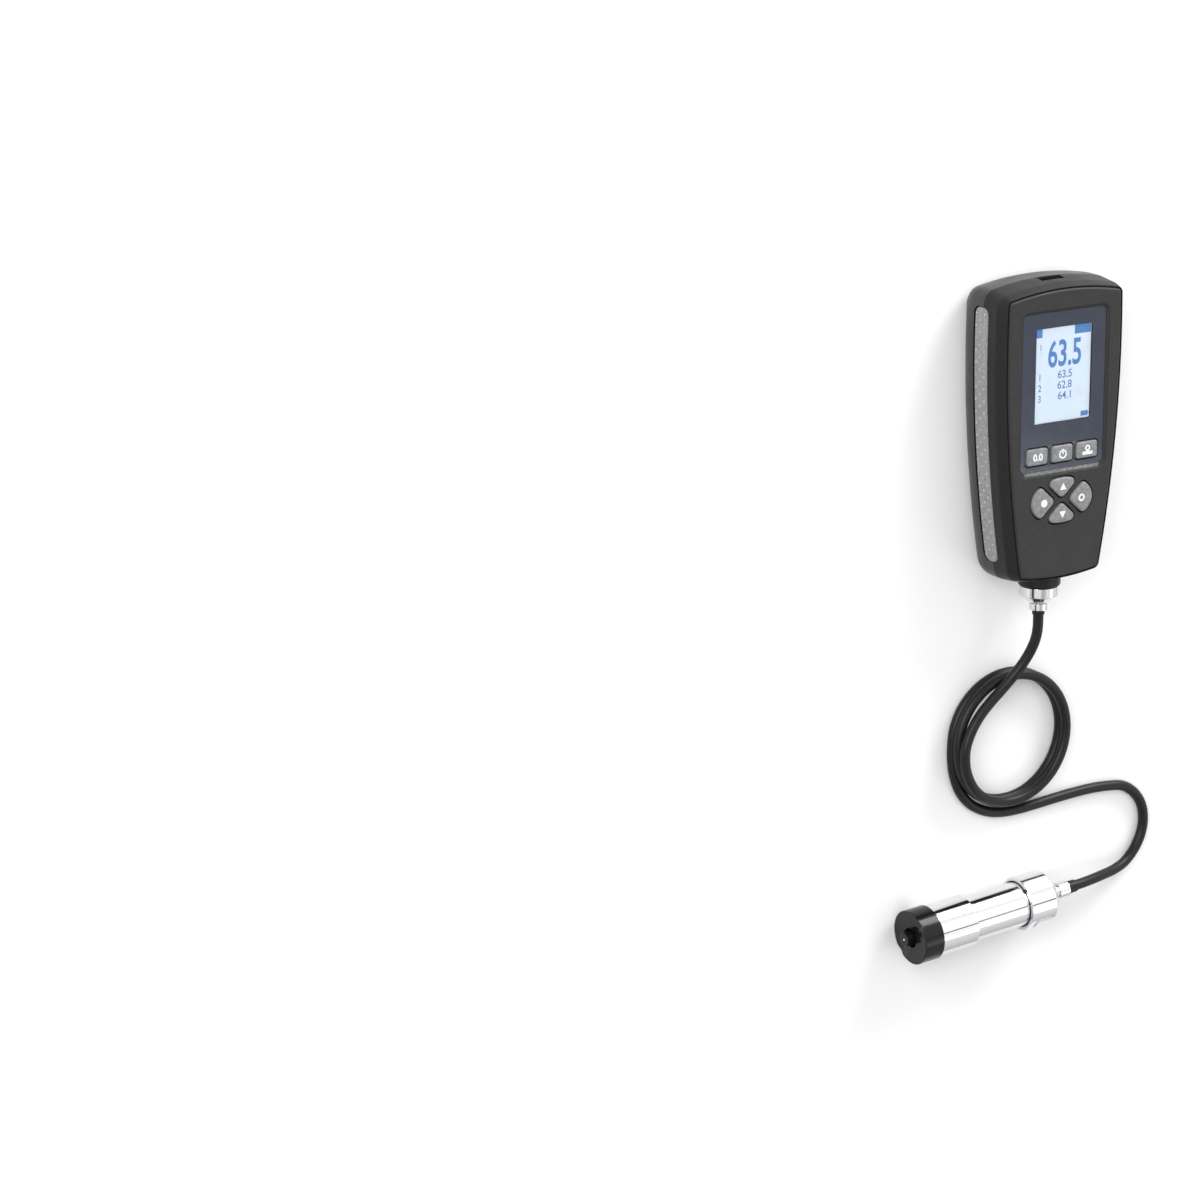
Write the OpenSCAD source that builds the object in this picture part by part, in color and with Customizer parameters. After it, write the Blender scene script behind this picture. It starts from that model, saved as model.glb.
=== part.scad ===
// Coating thickness gauge: hand-held meter with a display, seven keys and a wired probe.
// The meter lies on its back. X is to its right, Y to its top end, Z out of its front.

/* [Body] */
// Length of the body between its two end walls
body_l = 143; // [138:0.5:150]
// Width of the body where it is widest
body_w = 71; // [69:0.5:76]
// Height of the front plate above the back
body_d = 35.5; // [35:0.5:40]
// Height of the widest line above the body's centre
wide_y = 43.5; // [38:0.5:48]
// Radius of the two long sides
side_r = 620; // [560:5:800]
// Radius of the top end
top_r = 150; // [110:5:300]
// Radius of the bottom end
bottom_r = 130; // [100:5:300]
// Corner radius of the body in front view
corner_r = 7; // [4:0.5:9]
// How far the rounded back edge reaches inwards
back_round_w = 8; // [5:0.5:9]
// How far the rounded back edge reaches forwards
back_round_h = 12.5; // [8:0.5:13]
// Wall thickness of both shells
wall = 3; // [2.6:0.1:3.2]
// Height of the parting plane above the back
part_z = 20; // [19.5:0.1:20.5]

/* [Front plate] */
// Width of the sloping strip beside the front plate
strip_w = 2.7; // [1.5:0.1:3.5]
// Depth of that strip, front to back
strip_h = 4.7; // [3:0.1:6]
// How far the end walls lean in towards the front
end_lean = 2.6; // [1:0.1:3]
// Width of the groove round the front plate
groove_w = 0.7; // [0.5:0.1:1]
// Width of the flat lip between the strip and the groove
rim_lip = 0.3; // [0.2:0.05:0.6]
// Step from the strip's edge up to the front plate
plate_step = 0.8; // [0.4:0.1:1.2]
// Depth of the groove below the strip's edge
groove_d = 0.9; // [0.4:0.1:1.2]
// Rounding of the front plate's edge
plate_edge = 0.6; // [0.3:0.1:1]

/* [Display] */
// Width of the display window sheet
window_w = 47.2; // [44:0.2:50]
// Height of the display window sheet
window_h = 74; // [70:0.5:77]
// Height of the sheet's centre above the body's centre
window_y = 20.8; // [19:0.1:22]
// Thickness of the sheet
window_t = 0.9; // [0.6:0.1:1.1]
// Depth of the sheet's recess in the front plate
recess_d = 1.9; // [1.5:0.1:2.1]
// Width of the slope round the recess
recess_slope = 1.3; // [0.6:0.1:1.6]
// Corner radius of the sheet
window_corner = 3; // [1.5:0.1:4]
// Width of the visible part of the display
view_w = 32; // [28:0.5:35]
// Height of the visible part of the display
view_h = 44.8; // [40:0.2:46]
// Height of the display's centre above the sheet's centre
view_up = 7.5; // [6:0.1:8]
// Display glass rim hidden under the front wall
glass_rim = 1.8; // [1:0.1:2.4]
// Thickness of the display glass
glass_t = 1.1; // [0.7:0.1:1.6]
// Corner radius of the display glass
glass_corner = 1; // [0.5:0.1:2]

/* [Keys] */
// Width of a key in the row of three
row_key_w = 11.9; // [10:0.1:12.6]
// Height of a key in the row of three
row_key_h = 7.8; // [6:0.1:8.4]
// Spacing of the keys in the row
row_pitch = 14.2; // [14:0.1:15]
// Height of the row below the sheet's centre
row_down = 29.9; // [29:0.1:30.5]
// Corner radius of the row keys
row_corner = 1.2; // [0.6:0.1:2]
// Width of the oval pad of four keys
pad_w = 34.6; // [32:0.2:38]
// Height of the oval pad of four keys
pad_h = 21.6; // [20:0.2:24]
// Height of the pad's centre below the body's centre
pad_down = 31.2; // [30:0.1:32]
// Gap between the pad keys
pad_gap = 3.2; // [2:0.1:3.6]
// How far from the pad's centre the sides of the upper and lower keys meet
pad_tip = 0.8; // [0.4:0.1:1.4]
// Slant of the gaps between the pad keys
pad_slant = 43; // [38:1:46]
// Corner radius of the pad keys
pad_corner = 2.2; // [0.8:0.1:2.6]
// Height of the key tops above the face around them
key_rise = 1.1; // [0.6:0.1:1.6]
// Key travel
key_travel = 0.8; // [0.5:0.1:0.8]
// Gap between a key and its hole
key_gap = 0.25; // [0.15:0.05:0.35]
// Width of the flange that keeps a key in
key_flange = 0.5; // [0.4:0.05:0.55]
// Thickness of that flange
flange_t = 1.2; // [0.8:0.1:1.4]

/* [Inside] */
// Depth of the circuit board's underside below the front shell's inner face
board_drop = 6.7; // [6.5:0.1:7.1]
// Thickness of the circuit board
board_t = 1.6; // [1:0.1:1.6]
// Thickness of the keypad mat
mat_t = 1.2; // [0.8:0.1:1.4]
// Diameter of a cell
cell_d = 14.5; // [14:0.1:14.6]
// Length of a cell with its button
cell_l = 50.5; // [49:0.5:51]
// Height of the battery bay's centre below the body's centre
bay_down = 18; // [16:0.5:19]
// Thickness of the battery bay's walls
bay_wall = 1.4; // [1:0.1:1.8]
// Thickness of the battery door
door_t = 1.6; // [1.4:0.1:1.8]
// Travel of the battery door before it comes free
door_travel = 12; // [6:1:14]
// Diameter of the case screws
screw_d = 2.9; // [2.5:0.1:3.2]

/* [Grips] */
// Width of the side grips
grip_w = 9.6; // [8:0.1:10.4]
// Length of the side grips
grip_l = 121; // [100:1:124]
// Depth of the grips in the side walls
grip_d = 1.6; // [1:0.1:1.8]
// How far the grips stand out of the side walls
grip_out = 0.3; // [0:0.1:0.6]
// Height of the grips' middle above the back
grip_z = 18.8; // [18.4:0.1:19.2]
// Corner radius of the grips
grip_corner = 3.4; // [2:0.1:4]

/* [Connector] */
// Diameter of the black socket flange
flange_d = 20; // [18:0.2:20.4]
// How far the flange stands out of the bottom end
flange_out = 3.5; // [2:0.1:5]
// Diameter of the coupling nut
nut_d = 18.8; // [17:0.1:19.6]
// Length of the coupling nut's straight part
nut_l = 4.6; // [4:0.1:6]
// Length of its tapered end
nut_taper = 3.8; // [2.6:0.1:5]
// Diameter of the socket's threaded nose
thread_d = 13.6; // [12.6:0.1:14]
// Diameter of the cable clamp ring
clamp_d = 8.8; // [8:0.1:9.6]
// Length of the cable clamp ring
clamp_l = 3.4; // [2.6:0.1:4.4]
// Length of the rubber sleeve behind the plug
boot_l = 2.6; // [2:0.1:4]
// Diameter of the cable
cable_d = 5; // [4.4:0.1:5.4]

/* [Probe] */
// Diameter of the nose cap and of the rear collar
probe_d = 26.4; // [26:0.1:28]
// Diameter of the front sleeve
sleeve_d = 25.2; // [24.4:0.1:25.8]
// Diameter of the slim tube
tube_d = 21.8; // [20.6:0.1:22.4]
// Length of the nose cap
cap_l = 11; // [9.6:0.1:12.4]
// Length of the front sleeve
sleeve_l = 20.5; // [17:0.5:25]
// Visible length of the slim tube
tube_l = 31; // [26:0.5:40]
// Length of the rear collar
collar_l = 14.5; // [12:0.5:18]
// Length of the cone behind the collar
cone_l = 7.5; // [5:0.5:10]
// Length of the gland ring
gland_l = 6; // [4:0.5:8]
// Length of the rubber sleeve behind the gland
probe_boot_l = 5.3; // [4:0.1:8]
// Diameter of the sensor pin
pin_d = 7.1; // [6.4:0.1:7.6]
// How far the pin stands out of the nose
pin_out = 3.6; // [2.5:0.1:4.2]
// Travel of the pin
pin_travel = 3; // [1.5:0.1:3.2]
// Diameter of the well round the pin
well_d = 9.5; // [9:0.1:10.4]
// Depth of that well
well_l = 3; // [2:0.1:3.6]
// Width of the V groove across the nose
vee_w = 15; // [12:0.5:17]
// Depth of the V groove
vee_d = 2.4; // [1.5:0.1:2.8]
// Turn of the V groove about the probe's axis
vee_roll = 45; // [0:5:180]
// Wire diameter of the pin spring
spring_wire = 0.8; // [0.5:0.1:1]

/* [Hidden] */

// General clearances
slip = 0.1;
run = 0.05;
loose = 0.3;
eps = 0.01;
beyond = 40;
// How far a cut runs past the face it opens
over = 1;

// Colours
SHELL = "#2e2e2f";
GRIP = "#9a9b9b";
KEY = "#7c7d7e";
BLACK = "#1c1c1d";
CHROME = "#d9dadc";
STEEL = "#b4b6b8";
BRASS = "#c8a452";

// Body outline
half_l = body_l / 2;
half_w = body_w / 2;
round_fn = 32;
rim_z = body_d - plate_step;
strip_z = rim_z - strip_h;
inner_z = rim_z - wall;
front_wall = body_d - inner_z;
board_z = inner_z - board_drop;
lean_share = 0.45;
lean_mid = end_lean * lean_share;
back_steps = 3;
// Height, inset of the sides, inset of the ends, and the inward normal, from the back to the front
PROFILE = concat(
    [for (i = [0 : back_steps]) let (t = 90 * i / back_steps)
        let (in = back_round_w * (1 - sin(t))) [back_round_h * (1 - cos(t)), in, in, cos(t), sin(t)]],
    [[part_z, 0, 0, 0, 1], [strip_z, 0, lean_mid, 0, 1], [rim_z, strip_w, end_lean, -1, 1]]);

// Half the body's width at a height y along it
function half_width(y) = half_w - side_r + sqrt(side_r * side_r - (y - wide_y) * (y - wide_y));

// Points on an arc, the last one left out unless last is 1
function arc(c, r, a0, a1, n, last = 0) =
    [for (i = [0 : n - 1 + last]) let (a = a0 + (a1 - a0) * i / n) c + r * [cos(a), sin(a)]];
function heading(v) = atan2(v[1], v[0]);
// Where two circles meet, on the right (1) or left (-1) of the line from p to q
function meet(p, rp, q, rq, s) =
    let (d = norm(q - p), u = (q - p) / d, a = (rp * rp - rq * rq + d * d) / (2 * d))
    p + a * u + s * sqrt(rp * rp - a * a) * [u[1], -u[0]];

SIDE_C = [half_w - side_r, wide_y];
TOP_C = [0, half_l - top_r];
BOTTOM_C = [0, bottom_r - half_l];
// The right half of the outline, from the middle of the bottom end to the middle of the top end
function half_outline(side_in, end_in, c) = let (
    rs = side_r - side_in, rt = top_r - end_in, rb = bottom_r - end_in,
    p = meet(SIDE_C, rs - c, TOP_C, rt - c, -1), q = meet(SIDE_C, rs - c, BOTTOM_C, rb - c, 1))
    concat(
        arc(BOTTOM_C, rb, -90, heading(q - BOTTOM_C), 4),
        arc(q, c, heading(q - BOTTOM_C), heading(q - SIDE_C), 6),
        arc(SIDE_C, rs, heading(q - SIDE_C), heading(p - SIDE_C), 12),
        arc(p, c, heading(p - SIDE_C), heading(p - TOP_C), 6), arc(TOP_C, rt, heading(p - TOP_C), 90, 4, 1));
// The body's outline, drawn in at its sides and ends, with rounded corners
function outline_pts(side_in, end_in, c) = let (h = half_outline(side_in, end_in, c))
    concat(h, [for (i = [len(h) - 2 : -1 : 1]) [-h[i][0], h[i][1]]]);
module outline(side_in, end_in, c) polygon(outline_pts(side_in, end_in, c));

// Faces of a skin over rings of n points, closed at both ends
function skin(n, last) = concat(
    [[for (j = [0 : n - 1]) j]],
    [for (i = [0 : last - 1], j = [0 : n - 1]) let (k = (j + 1) % n)
        each [[i * n + j, (i + 1) * n + j, (i + 1) * n + k], [i * n + j, (i + 1) * n + k, i * n + k]]],
    [[for (j = [n - 1 : -1 : 0]) last * n + j]]);
// A solid lofted through rings, each one a height and its points
module loft(rings) {
    polyhedron(points = [for (r = rings, p = r[1]) [p[0], p[1], r[0]]],
        faces = skin(len(rings[0][1]), len(rings) - 1));
}

// The body's outer form, drawn in by w all round
function corner_at(p, w) = max((p[3] > 0 ? corner_r : corner_r - p[1]) - w, 1);
module envelope(w) {
    loft([for (p = PROFILE)
        [p[0] + w * p[3], outline_pts(p[1] + w * p[4], p[2] + w * p[4], corner_at(p, w))]]);
}

module above(z) translate([-beyond * 2, -beyond * 3, z]) cube([beyond * 4, beyond * 6, beyond * 2]);
module below(z) above(z - beyond * 2);

function rounded_pts(w, h, r) = [for (i = [0 : 3])
    each arc([(i == 0 || i == 3 ? 1 : -1) * (w / 2 - r), (i < 2 ? 1 : -1) * (h / 2 - r)],
        r, 90 * i, 90 * i + 90, 8, 1)];
module rounded(w, h, r) {
    square([w - 2 * r, h], center = true);
    square([w, h - 2 * r], center = true);
    for (x = [-1, 1], y = [-1, 1])
        translate([x * (w / 2 - r), y * (h / 2 - r)]) circle(r = r, $fn = round_fn);
}

// A turned solid about Z, from a profile of heights and radii
module lathe(profile) rotate_extrude($fn = 96) polygon([for (q = profile) [q[1], q[0]]]);

// Local Z runs out of the bottom end, measured from the body's centre
module on_plug() translate([0, 0, part_z]) rotate([90, 0, 0]) children();

// Swept tube: rings of points round a path whose line is never upright
function unit(v) = v / norm(v);
function tangent(p, i) = unit(p[min(i + 1, len(p) - 1)] - p[max(i - 1, 0)]);
function ring(c, t, r, n) = let (a = unit(cross(t, [0, 0, 1])), b = cross(t, a))
    [for (j = [0 : n - 1]) c + r * (cos(360 * j / n) * a + sin(360 * j / n) * b)];
module tube(p, r, n) {
    polyhedron(points = [for (i = [0 : len(p) - 1]) each ring(p[i], tangent(p, i), r, n)],
        faces = skin(n, len(p) - 1));
}

// A coil spring about Z, from z0 to z1, with its radius going from r0 to r1
module coil_spring(z0, z1, r0, r1, turns, wire) {
    steps = turns * 12;
    tube([for (i = [0 : steps]) let (f = i / steps, r = r0 + (r1 - r0) * f)
        [r * cos(360 * turns * f), r * sin(360 * turns * f), z0 + (z1 - z0) * f]], wire / 2, 8);
}

// Display and keys
recess_z = body_d - recess_d;
window_z = recess_z + window_t;
view_y = window_y + view_up;
row_y = window_y - row_down;
pad_y = -pad_down;
flange_z = inner_z - 2 * slip - flange_t;
glass_z = recess_z - slip - glass_t;
glass_w = view_w + 2 * glass_rim;
glass_h = view_h + 2 * glass_rim;
board_top = board_z + board_t;

module row_key_shape(grow) rounded(row_key_w + 2 * grow, row_key_h + 2 * grow, row_corner + grow);

// One quarter of the oval pad; turn 0 is the upper key, 1 the left one
module pad_key_shape(turn, grow) {
    reach = pad_w;
    upright = turn % 2 == 0;
    a = upright ? 90 - pad_slant : pad_slant;
    apex = upright ? pad_tip : (pad_gap - pad_tip * cos(pad_slant)) / sin(pad_slant);
    offset(r = pad_corner + grow, $fn = round_fn) offset(delta = -pad_corner) intersection() {
        scale([pad_w / pad_h, 1]) circle(d = pad_h, $fn = 72);
        rotate(turn * 90) translate([0, apex])
            polygon([[0, 0], [reach * tan(a), reach], [-reach * tan(a), reach]]);
    }
}

module key_cap(top) {
    translate([0, 0, flange_z + flange_t - eps]) linear_extrude(top - flange_z - flange_t + eps) children(0);
    translate([0, 0, flange_z]) linear_extrude(flange_t) children(1);
}

module row_key(i) {
    translate([i * row_pitch, row_y, 0]) color(KEY) key_cap(window_z + key_rise) {
        row_key_shape(0);
        row_key_shape(key_flange);
    }
}

module pad_key(turn) {
    translate([0, pad_y, 0]) color(KEY) key_cap(body_d + key_rise) {
        pad_key_shape(turn, 0);
        pad_key_shape(turn, key_flange);
    }
}

// Case screws and their bosses
screw_edge = 11.4;
screw_low_edge = 7.1;
screw_top_in = 14.5;
screw_low_in = 21.5;
screw_top_y = half_l - screw_top_in;
screw_low_y = screw_low_in - half_l;
SCREWS = [
    for (s = [-1, 1]) each [
        [s * (half_width(screw_top_y) - screw_edge), screw_top_y],
        [s * (half_width(screw_low_y) - screw_low_edge), screw_low_y]]
];
head_wide = 1.8;
head_r = head_wide * screw_d / 2;
boss_wall = 0.9;
boss_r = head_r + loose + boss_wall;
head_h = 2;
seat_z = 6;

// Battery bay
cell_gap = 0.8;
cell_x = (cell_d + cell_gap) / 2;
door_sink = 0;
bay_floor = door_sink + door_t + loose;
cell_z = bay_floor + loose + cell_d / 2;
bay_half = cell_x + cell_d / 2 + loose;
spring_l = 4;
plate_t = 0.4;
bay_l = cell_l + spring_l + 2 * plate_t + slip;
bay_y0 = -bay_down - bay_l / 2;
bay_y1 = -bay_down + bay_l / 2;
bay_top = cell_z + cell_d / 2 + loose;
door_side = 1.6;
door_over = 3;
door_half = bay_half + door_side;
door_end = bay_y1 + door_over;
door_lip_z = 9;

module door_region(grow) {
    translate([-door_half - grow, -half_l - over, -over])
        cube([2 * (door_half + grow), half_l + over + door_end + grow, door_lip_z + over + grow]);
}

module door_skin(inset, thick, grow) {
    difference() {
        intersection() {
            envelope(inset);
            door_region(grow);
        }
        envelope(inset + thick);
    }
}

rail_w = 1;
rail_t = 0.8;
rail_more = 2.6;
rail_back = 2;
rail_l = bay_l + rail_more;
rail_end = bay_y1 - rail_back;
// Tongues on the door's sides, which run in slots of the shell
module door_rails(grow, travel) {
    half = door_half + rail_w + grow;
    for (m = [0, 1]) mirror([m, 0, 0])
        translate([door_half - rail_w, rail_end - rail_l - travel - grow, door_sink + door_t - rail_t - grow])
            cube([half - door_half + rail_w, rail_l + travel + 2 * grow, rail_t + 2 * grow]);
}

// Connector places, as distances below the body's centre
pad_depth = 2.2;
panel_in = half_l - wall - pad_depth;
flange_sink = 2;
flange_back = half_l - flange_sink;
flange_face = half_l + flange_out;
flange_edge = 1;
nut_start = flange_face + loose;
nut_end = nut_start + nut_l;
taper_end = nut_end + nut_taper;
clamp_start = taper_end + loose;
clamp_end = clamp_start + clamp_l;
boot_end = clamp_end + boot_l;
barrel_l = 9;
barrel_step = 0.4;
barrel_r = thread_d / 2 - barrel_step;
socket_wall = 1.9;
socket_floor = 4;
insert_r = thread_d / 2 - socket_wall;
clamp_wall = 1.1;
neck_r = clamp_d / 2 - clamp_wall;
nose_gap = 1.2;
nose_end = nut_end - nose_gap;
turn_edge = 0.5;

module panel_pad() {
    intersection() {
        on_plug() translate([0, 0, panel_in])
            cylinder(h = flange_back - panel_in, d = flange_d + pad_depth, $fn = 96);
        envelope(wall / 2);
    }
}

module socket_hole() {
    on_plug() lathe([
        [panel_in - barrel_l, 0], [panel_in - barrel_l, barrel_r + slip], [flange_back, barrel_r + slip],
        [flange_back, flange_d / 2 + slip], [flange_face, flange_d / 2 + slip], [flange_face, 0]]);
}

// Port at the top end
port_w = 13;
port_h = 4.8;
usb_h = 4;
port_z = board_z - usb_h / 2;
port_depth = 7;

module port_slot() {
    translate([-port_w / 2, half_l - port_depth - wall, port_z - port_h / 2])
        cube([port_w, port_depth + 2 * wall, port_h]);
}

// The grip's form on the right side, let into the wall by grip_d
module grip_form(grow, depth, proud) {
    intersection() {
        translate([0, 0, grip_z - grip_w / 2 - grow]) linear_extrude(grip_w + 2 * grow) difference() {
            outline(-proud, -proud, corner_r);
            outline(depth, depth, corner_r);
        }
        translate([0, 0, grip_z]) rotate([90, 0, 90])
            linear_extrude(body_w) rounded(grip_l + 2 * grow, grip_w + 2 * grow, grip_corner + grow);
    }
}

module grip_channels() {
    for (m = [0, 1]) mirror([m, 0, 0]) grip_form(slip, grip_d + slip, over);
}

module front_shell() {
    lip_in = strip_w + rim_lip;
    lip_end = end_lean + rim_lip;
    plate_in = lip_in + groove_w;
    end_in = lip_end + groove_w;
    plate_corner = corner_r - plate_in;
    edge_share = 0.3;
    edge_mid = plate_edge * edge_share;
    plate_foot = (inner_z + rim_z - groove_d) / 2;
    color(SHELL) difference() {
        union() {
            difference() {
                intersection() {
                    envelope(0);
                    above(part_z);
                }
                envelope(wall);
                translate([0, 0, rim_z - groove_d]) linear_extrude(groove_d + over)
                    outline(lip_in, lip_end, corner_r - lip_in);
            }
            loft([
                [plate_foot, outline_pts(plate_in, end_in, plate_corner)],
                [body_d - plate_edge, outline_pts(plate_in, end_in, plate_corner)],
                [body_d - edge_mid, outline_pts(plate_in + edge_mid, end_in + edge_mid, plate_corner)],
                [body_d, outline_pts(plate_in + plate_edge, end_in + plate_edge, plate_corner)]]);
            for (p = SCREWS) translate([p[0], p[1], board_top + slip])
                cylinder(h = inner_z - board_top, r = boss_r, $fn = 48);
            intersection() {
                panel_pad();
                above(part_z);
            }
        }
        // Recess of the display sheet, with a slope round it
        translate([0, window_y, 0]) loft([
            [recess_z, rounded_pts(window_w + 2 * slip, window_h + 2 * slip, window_corner + slip)],
            [window_z, rounded_pts(window_w + 2 * slip, window_h + 2 * slip, window_corner + slip)],
            [body_d + eps, rounded_pts(window_w + 2 * recess_slope, window_h + 2 * recess_slope,
                window_corner + recess_slope)]]);
        translate([0, view_y, inner_z - over]) linear_extrude(front_wall)
            rounded(glass_w + 2 * slip, glass_h + 2 * slip, glass_corner + slip);
        // Key holes
        for (i = [-1 : 1]) translate([i * row_pitch, row_y, inner_z - over])
            linear_extrude(front_wall + 2 * over) row_key_shape(key_gap);
        for (turn = [0 : 3]) translate([0, pad_y, inner_z - over])
            linear_extrude(front_wall + 2 * over) pad_key_shape(turn, key_gap);
        for (p = SCREWS) translate([p[0], p[1], board_top])
            cylinder(h = inner_z - board_top + over, r = screw_d / 2 + run, $fn = 32);
        // Port slot, socket hole and grip channels
        port_slot();
        socket_hole();
        grip_channels();
    }
}

module rear_shell() {
    color(SHELL) difference() {
        union() {
            difference() {
                intersection() {
                    envelope(0);
                    below(part_z);
                }
                envelope(wall);
            }
            // Battery bay box
            translate([-bay_half - bay_wall, bay_y0 - bay_wall, bay_floor - loose])
                cube([2 * (bay_half + bay_wall), bay_l + 2 * bay_wall,
                    bay_top + bay_wall - bay_floor + loose]);
            for (p = SCREWS) translate([p[0], p[1], wall / 2])
                cylinder(h = board_z - slip - wall / 2, r = boss_r, $fn = 48);
            intersection() {
                panel_pad();
                below(part_z);
            }
        }
        translate([-bay_half, bay_y0, -over]) cube([2 * bay_half, bay_l, bay_top + over]);
        difference() {
            door_region(loose);
            envelope(bay_floor);
        }
        door_rails(loose, door_travel);
        for (p = SCREWS) translate([p[0], p[1], -over]) {
            cylinder(h = seat_z + over, r = head_r + loose, $fn = 48);
            cylinder(h = board_z + 2 * over, r = screw_d / 2 + slip, $fn = 32);
        }
        port_slot();
        socket_hole();
        grip_channels();
    }
}

module grip_right() color(GRIP) grip_form(0, grip_d, grip_out);
module grip_left() mirror([1, 0, 0]) grip_right();

module display_window() {
    color("#3b414d") translate([0, window_y, recess_z]) linear_extrude(window_t) difference() {
        rounded(window_w, window_h, window_corner);
        for (i = [-1 : 1]) translate([i * row_pitch, -row_down]) row_key_shape(key_gap);
    }
}

module lcd_glass() {
    color("#cfe3f4") translate([0, view_y, glass_z]) linear_extrude(glass_t)
        rounded(glass_w, glass_h, glass_corner);
}

// Light box of the display: a block on the board, with a raised part that carries the glass
module lcd_frame() {
    rim = 1;
    color("#d8d8d4") translate([0, view_y, board_top]) {
        linear_extrude(inner_z - slip - board_top)
            rounded(glass_w + 2 * rim, glass_h + 2 * rim, glass_corner + rim);
        linear_extrude(glass_z - board_top) rounded(glass_w, glass_h, glass_corner);
    }
}

module key_calibrate() row_key(-1);
module key_power() row_key(0);
module key_print() row_key(1);
module pad_up() pad_key(0);
module pad_left() pad_key(1);
module pad_down_key() pad_key(2);
module pad_right() pad_key(3);

module keypad_mat() {
    dome_r = 2.6;
    dome_top_r = 1.8;
    spot = 0.31;
    dome_z = flange_z - key_travel - 2 * slip;
    mat_w = 2 * row_pitch + row_key_w;
    top = row_y + row_key_h / 2;
    low = pad_y - pad_h / 2;
    spots = concat(
        [for (i = [-1 : 1]) [i * row_pitch, row_y]],
        [for (s = [-1, 1]) each [[s * pad_w * spot, pad_y], [0, pad_y + s * pad_h * spot]]]);
    color("#55585c") {
        translate([-mat_w / 2, low, board_top]) cube([mat_w, top - low, mat_t]);
        for (p = spots) translate([p[0], p[1], board_top + mat_t - eps])
            cylinder(h = dome_z - board_top - mat_t + eps, r1 = dome_r, r2 = dome_top_r, $fn = 40);
    }
}

board_edge = 2.6;
board_in = wall + board_edge;
board_low = screw_low_y - boss_r;
usb_w = 8.2;
usb_l = 8;
usb_in = 1;
usb_back = half_l - usb_in - usb_l;

module main_board() {
    color("#1f5a3a") difference() {
        translate([0, 0, board_z]) linear_extrude(board_t) intersection() {
            outline(board_in, board_in, corner_r);
            translate([-half_w, board_low]) square([body_w, body_l]);
        }
        for (p = SCREWS) translate([p[0], p[1], board_z - over])
            cylinder(h = board_t + 2 * over, r = screw_d / 2 + slip, $fn = 32);
    }
}

module buzzer() {
    buzzer_h = 4.2;
    buzzer_d = 12;
    sound_d = 2;
    color(BLACK) translate([half_w / 2, wide_y, board_z - buzzer_h]) difference() {
        cylinder(h = buzzer_h, d = buzzer_d, $fn = 64);
        translate([0, 0, -over]) cylinder(h = over + buzzer_h / 4, d = sound_d, $fn = 24);
    }
}

module usb_socket() {
    shell_t = 0.5;
    back_t = 2;
    tongue_w = 4.6;
    tongue_l = 5.2;
    tongue_h = 1.1;
    color("#2a2a2c") translate([0, usb_back, board_z - usb_h]) {
        difference() {
            translate([-usb_w / 2, 0, 0]) cube([usb_w, usb_l, usb_h]);
            translate([shell_t - usb_w / 2, back_t, shell_t])
                cube([usb_w - 2 * shell_t, usb_l, usb_h - 2 * shell_t]);
        }
        translate([-tongue_w / 2, back_t - shell_t, (usb_h - tongue_h) / 2])
            cube([tongue_w, tongue_l, tongue_h]);
    }
}

module case_screws() {
    tip_gap = 1;
    slot_w = 0.8;
    shank = inner_z - tip_gap - seat_z;
    color(STEEL) for (p = SCREWS) translate([p[0], p[1], seat_z]) {
        cylinder(h = shank, r = screw_d / 2, $fn = 32);
        difference() {
            translate([0, 0, -head_h]) cylinder(h = head_h + eps, r = head_r, $fn = 48);
            for (a = [0, 90]) rotate(a) translate([-screw_d / 2, -slot_w / 2, -head_h - over])
                cube([screw_d, slot_w, over + head_h / 2]);
        }
    }
}

// The two cells lie head to tail
module battery_cells() {
    button_l = 1.4;
    button_d = 5.5;
    for (s = [-1, 1]) translate([s * cell_x, -bay_down, cell_z]) rotate([s * 90, 0, 0]) color("#2f6f9a")
        translate([0, 0, spring_l / 2 - cell_l / 2]) {
            cylinder(h = cell_l - button_l, d = cell_d, $fn = 64);
            cylinder(h = cell_l, d = button_d, $fn = 48);
        }
}

module battery_springs() {
    wide_r = 5.2;
    slim_r = 2.9;
    wire = 0.7;
    turns = 3;
    for (s = [-1, 1]) translate([s * cell_x, -bay_down, cell_z]) rotate([s * 90, 0, 0]) color(STEEL)
        translate([0, 0, plate_t - bay_l / 2 + wire / 2 + run])
            coil_spring(0, spring_l - wire - 4 * run, wide_r, slim_r, turns, wire);
}

module battery_plates() {
    plate_w = 12.2;
    color(STEEL) for (s = [-1, 1], e = [0, 1])
        translate([s * cell_x - plate_w / 2, e ? bay_y1 - plate_t : bay_y0, cell_z - plate_w / 2])
            cube([plate_w, plate_t, plate_w]);
}

module battery_door() {
    groove = 1;
    groove_pitch = 2.4;
    groove_l = 16;
    grooves = 5;
    groove_in = 8;
    color(SHELL) difference() {
        union() {
            door_skin(door_sink, door_t, 0);
            door_rails(0, 0);
        }
        // Thumb grooves
        for (i = [0 : grooves - 1]) translate([-groove_l / 2, door_end - groove_in - i * groove_pitch, -over])
            cube([groove_l, groove, over + door_sink + groove / 2]);
    }
}

module socket_body() {
    on_plug() color(BLACK) lathe([
        [panel_in - barrel_l, 0], [panel_in - barrel_l, barrel_r], [flange_back, barrel_r],
        [flange_back, flange_d / 2], [flange_face - flange_edge, flange_d / 2],
        [flange_face, flange_d / 2 - flange_edge], [flange_face, thread_d / 2], [nose_end, thread_d / 2],
        [nose_end, insert_r + slip], [panel_in - socket_floor, insert_r + slip],
        [panel_in - socket_floor, 0]]);
}

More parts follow.
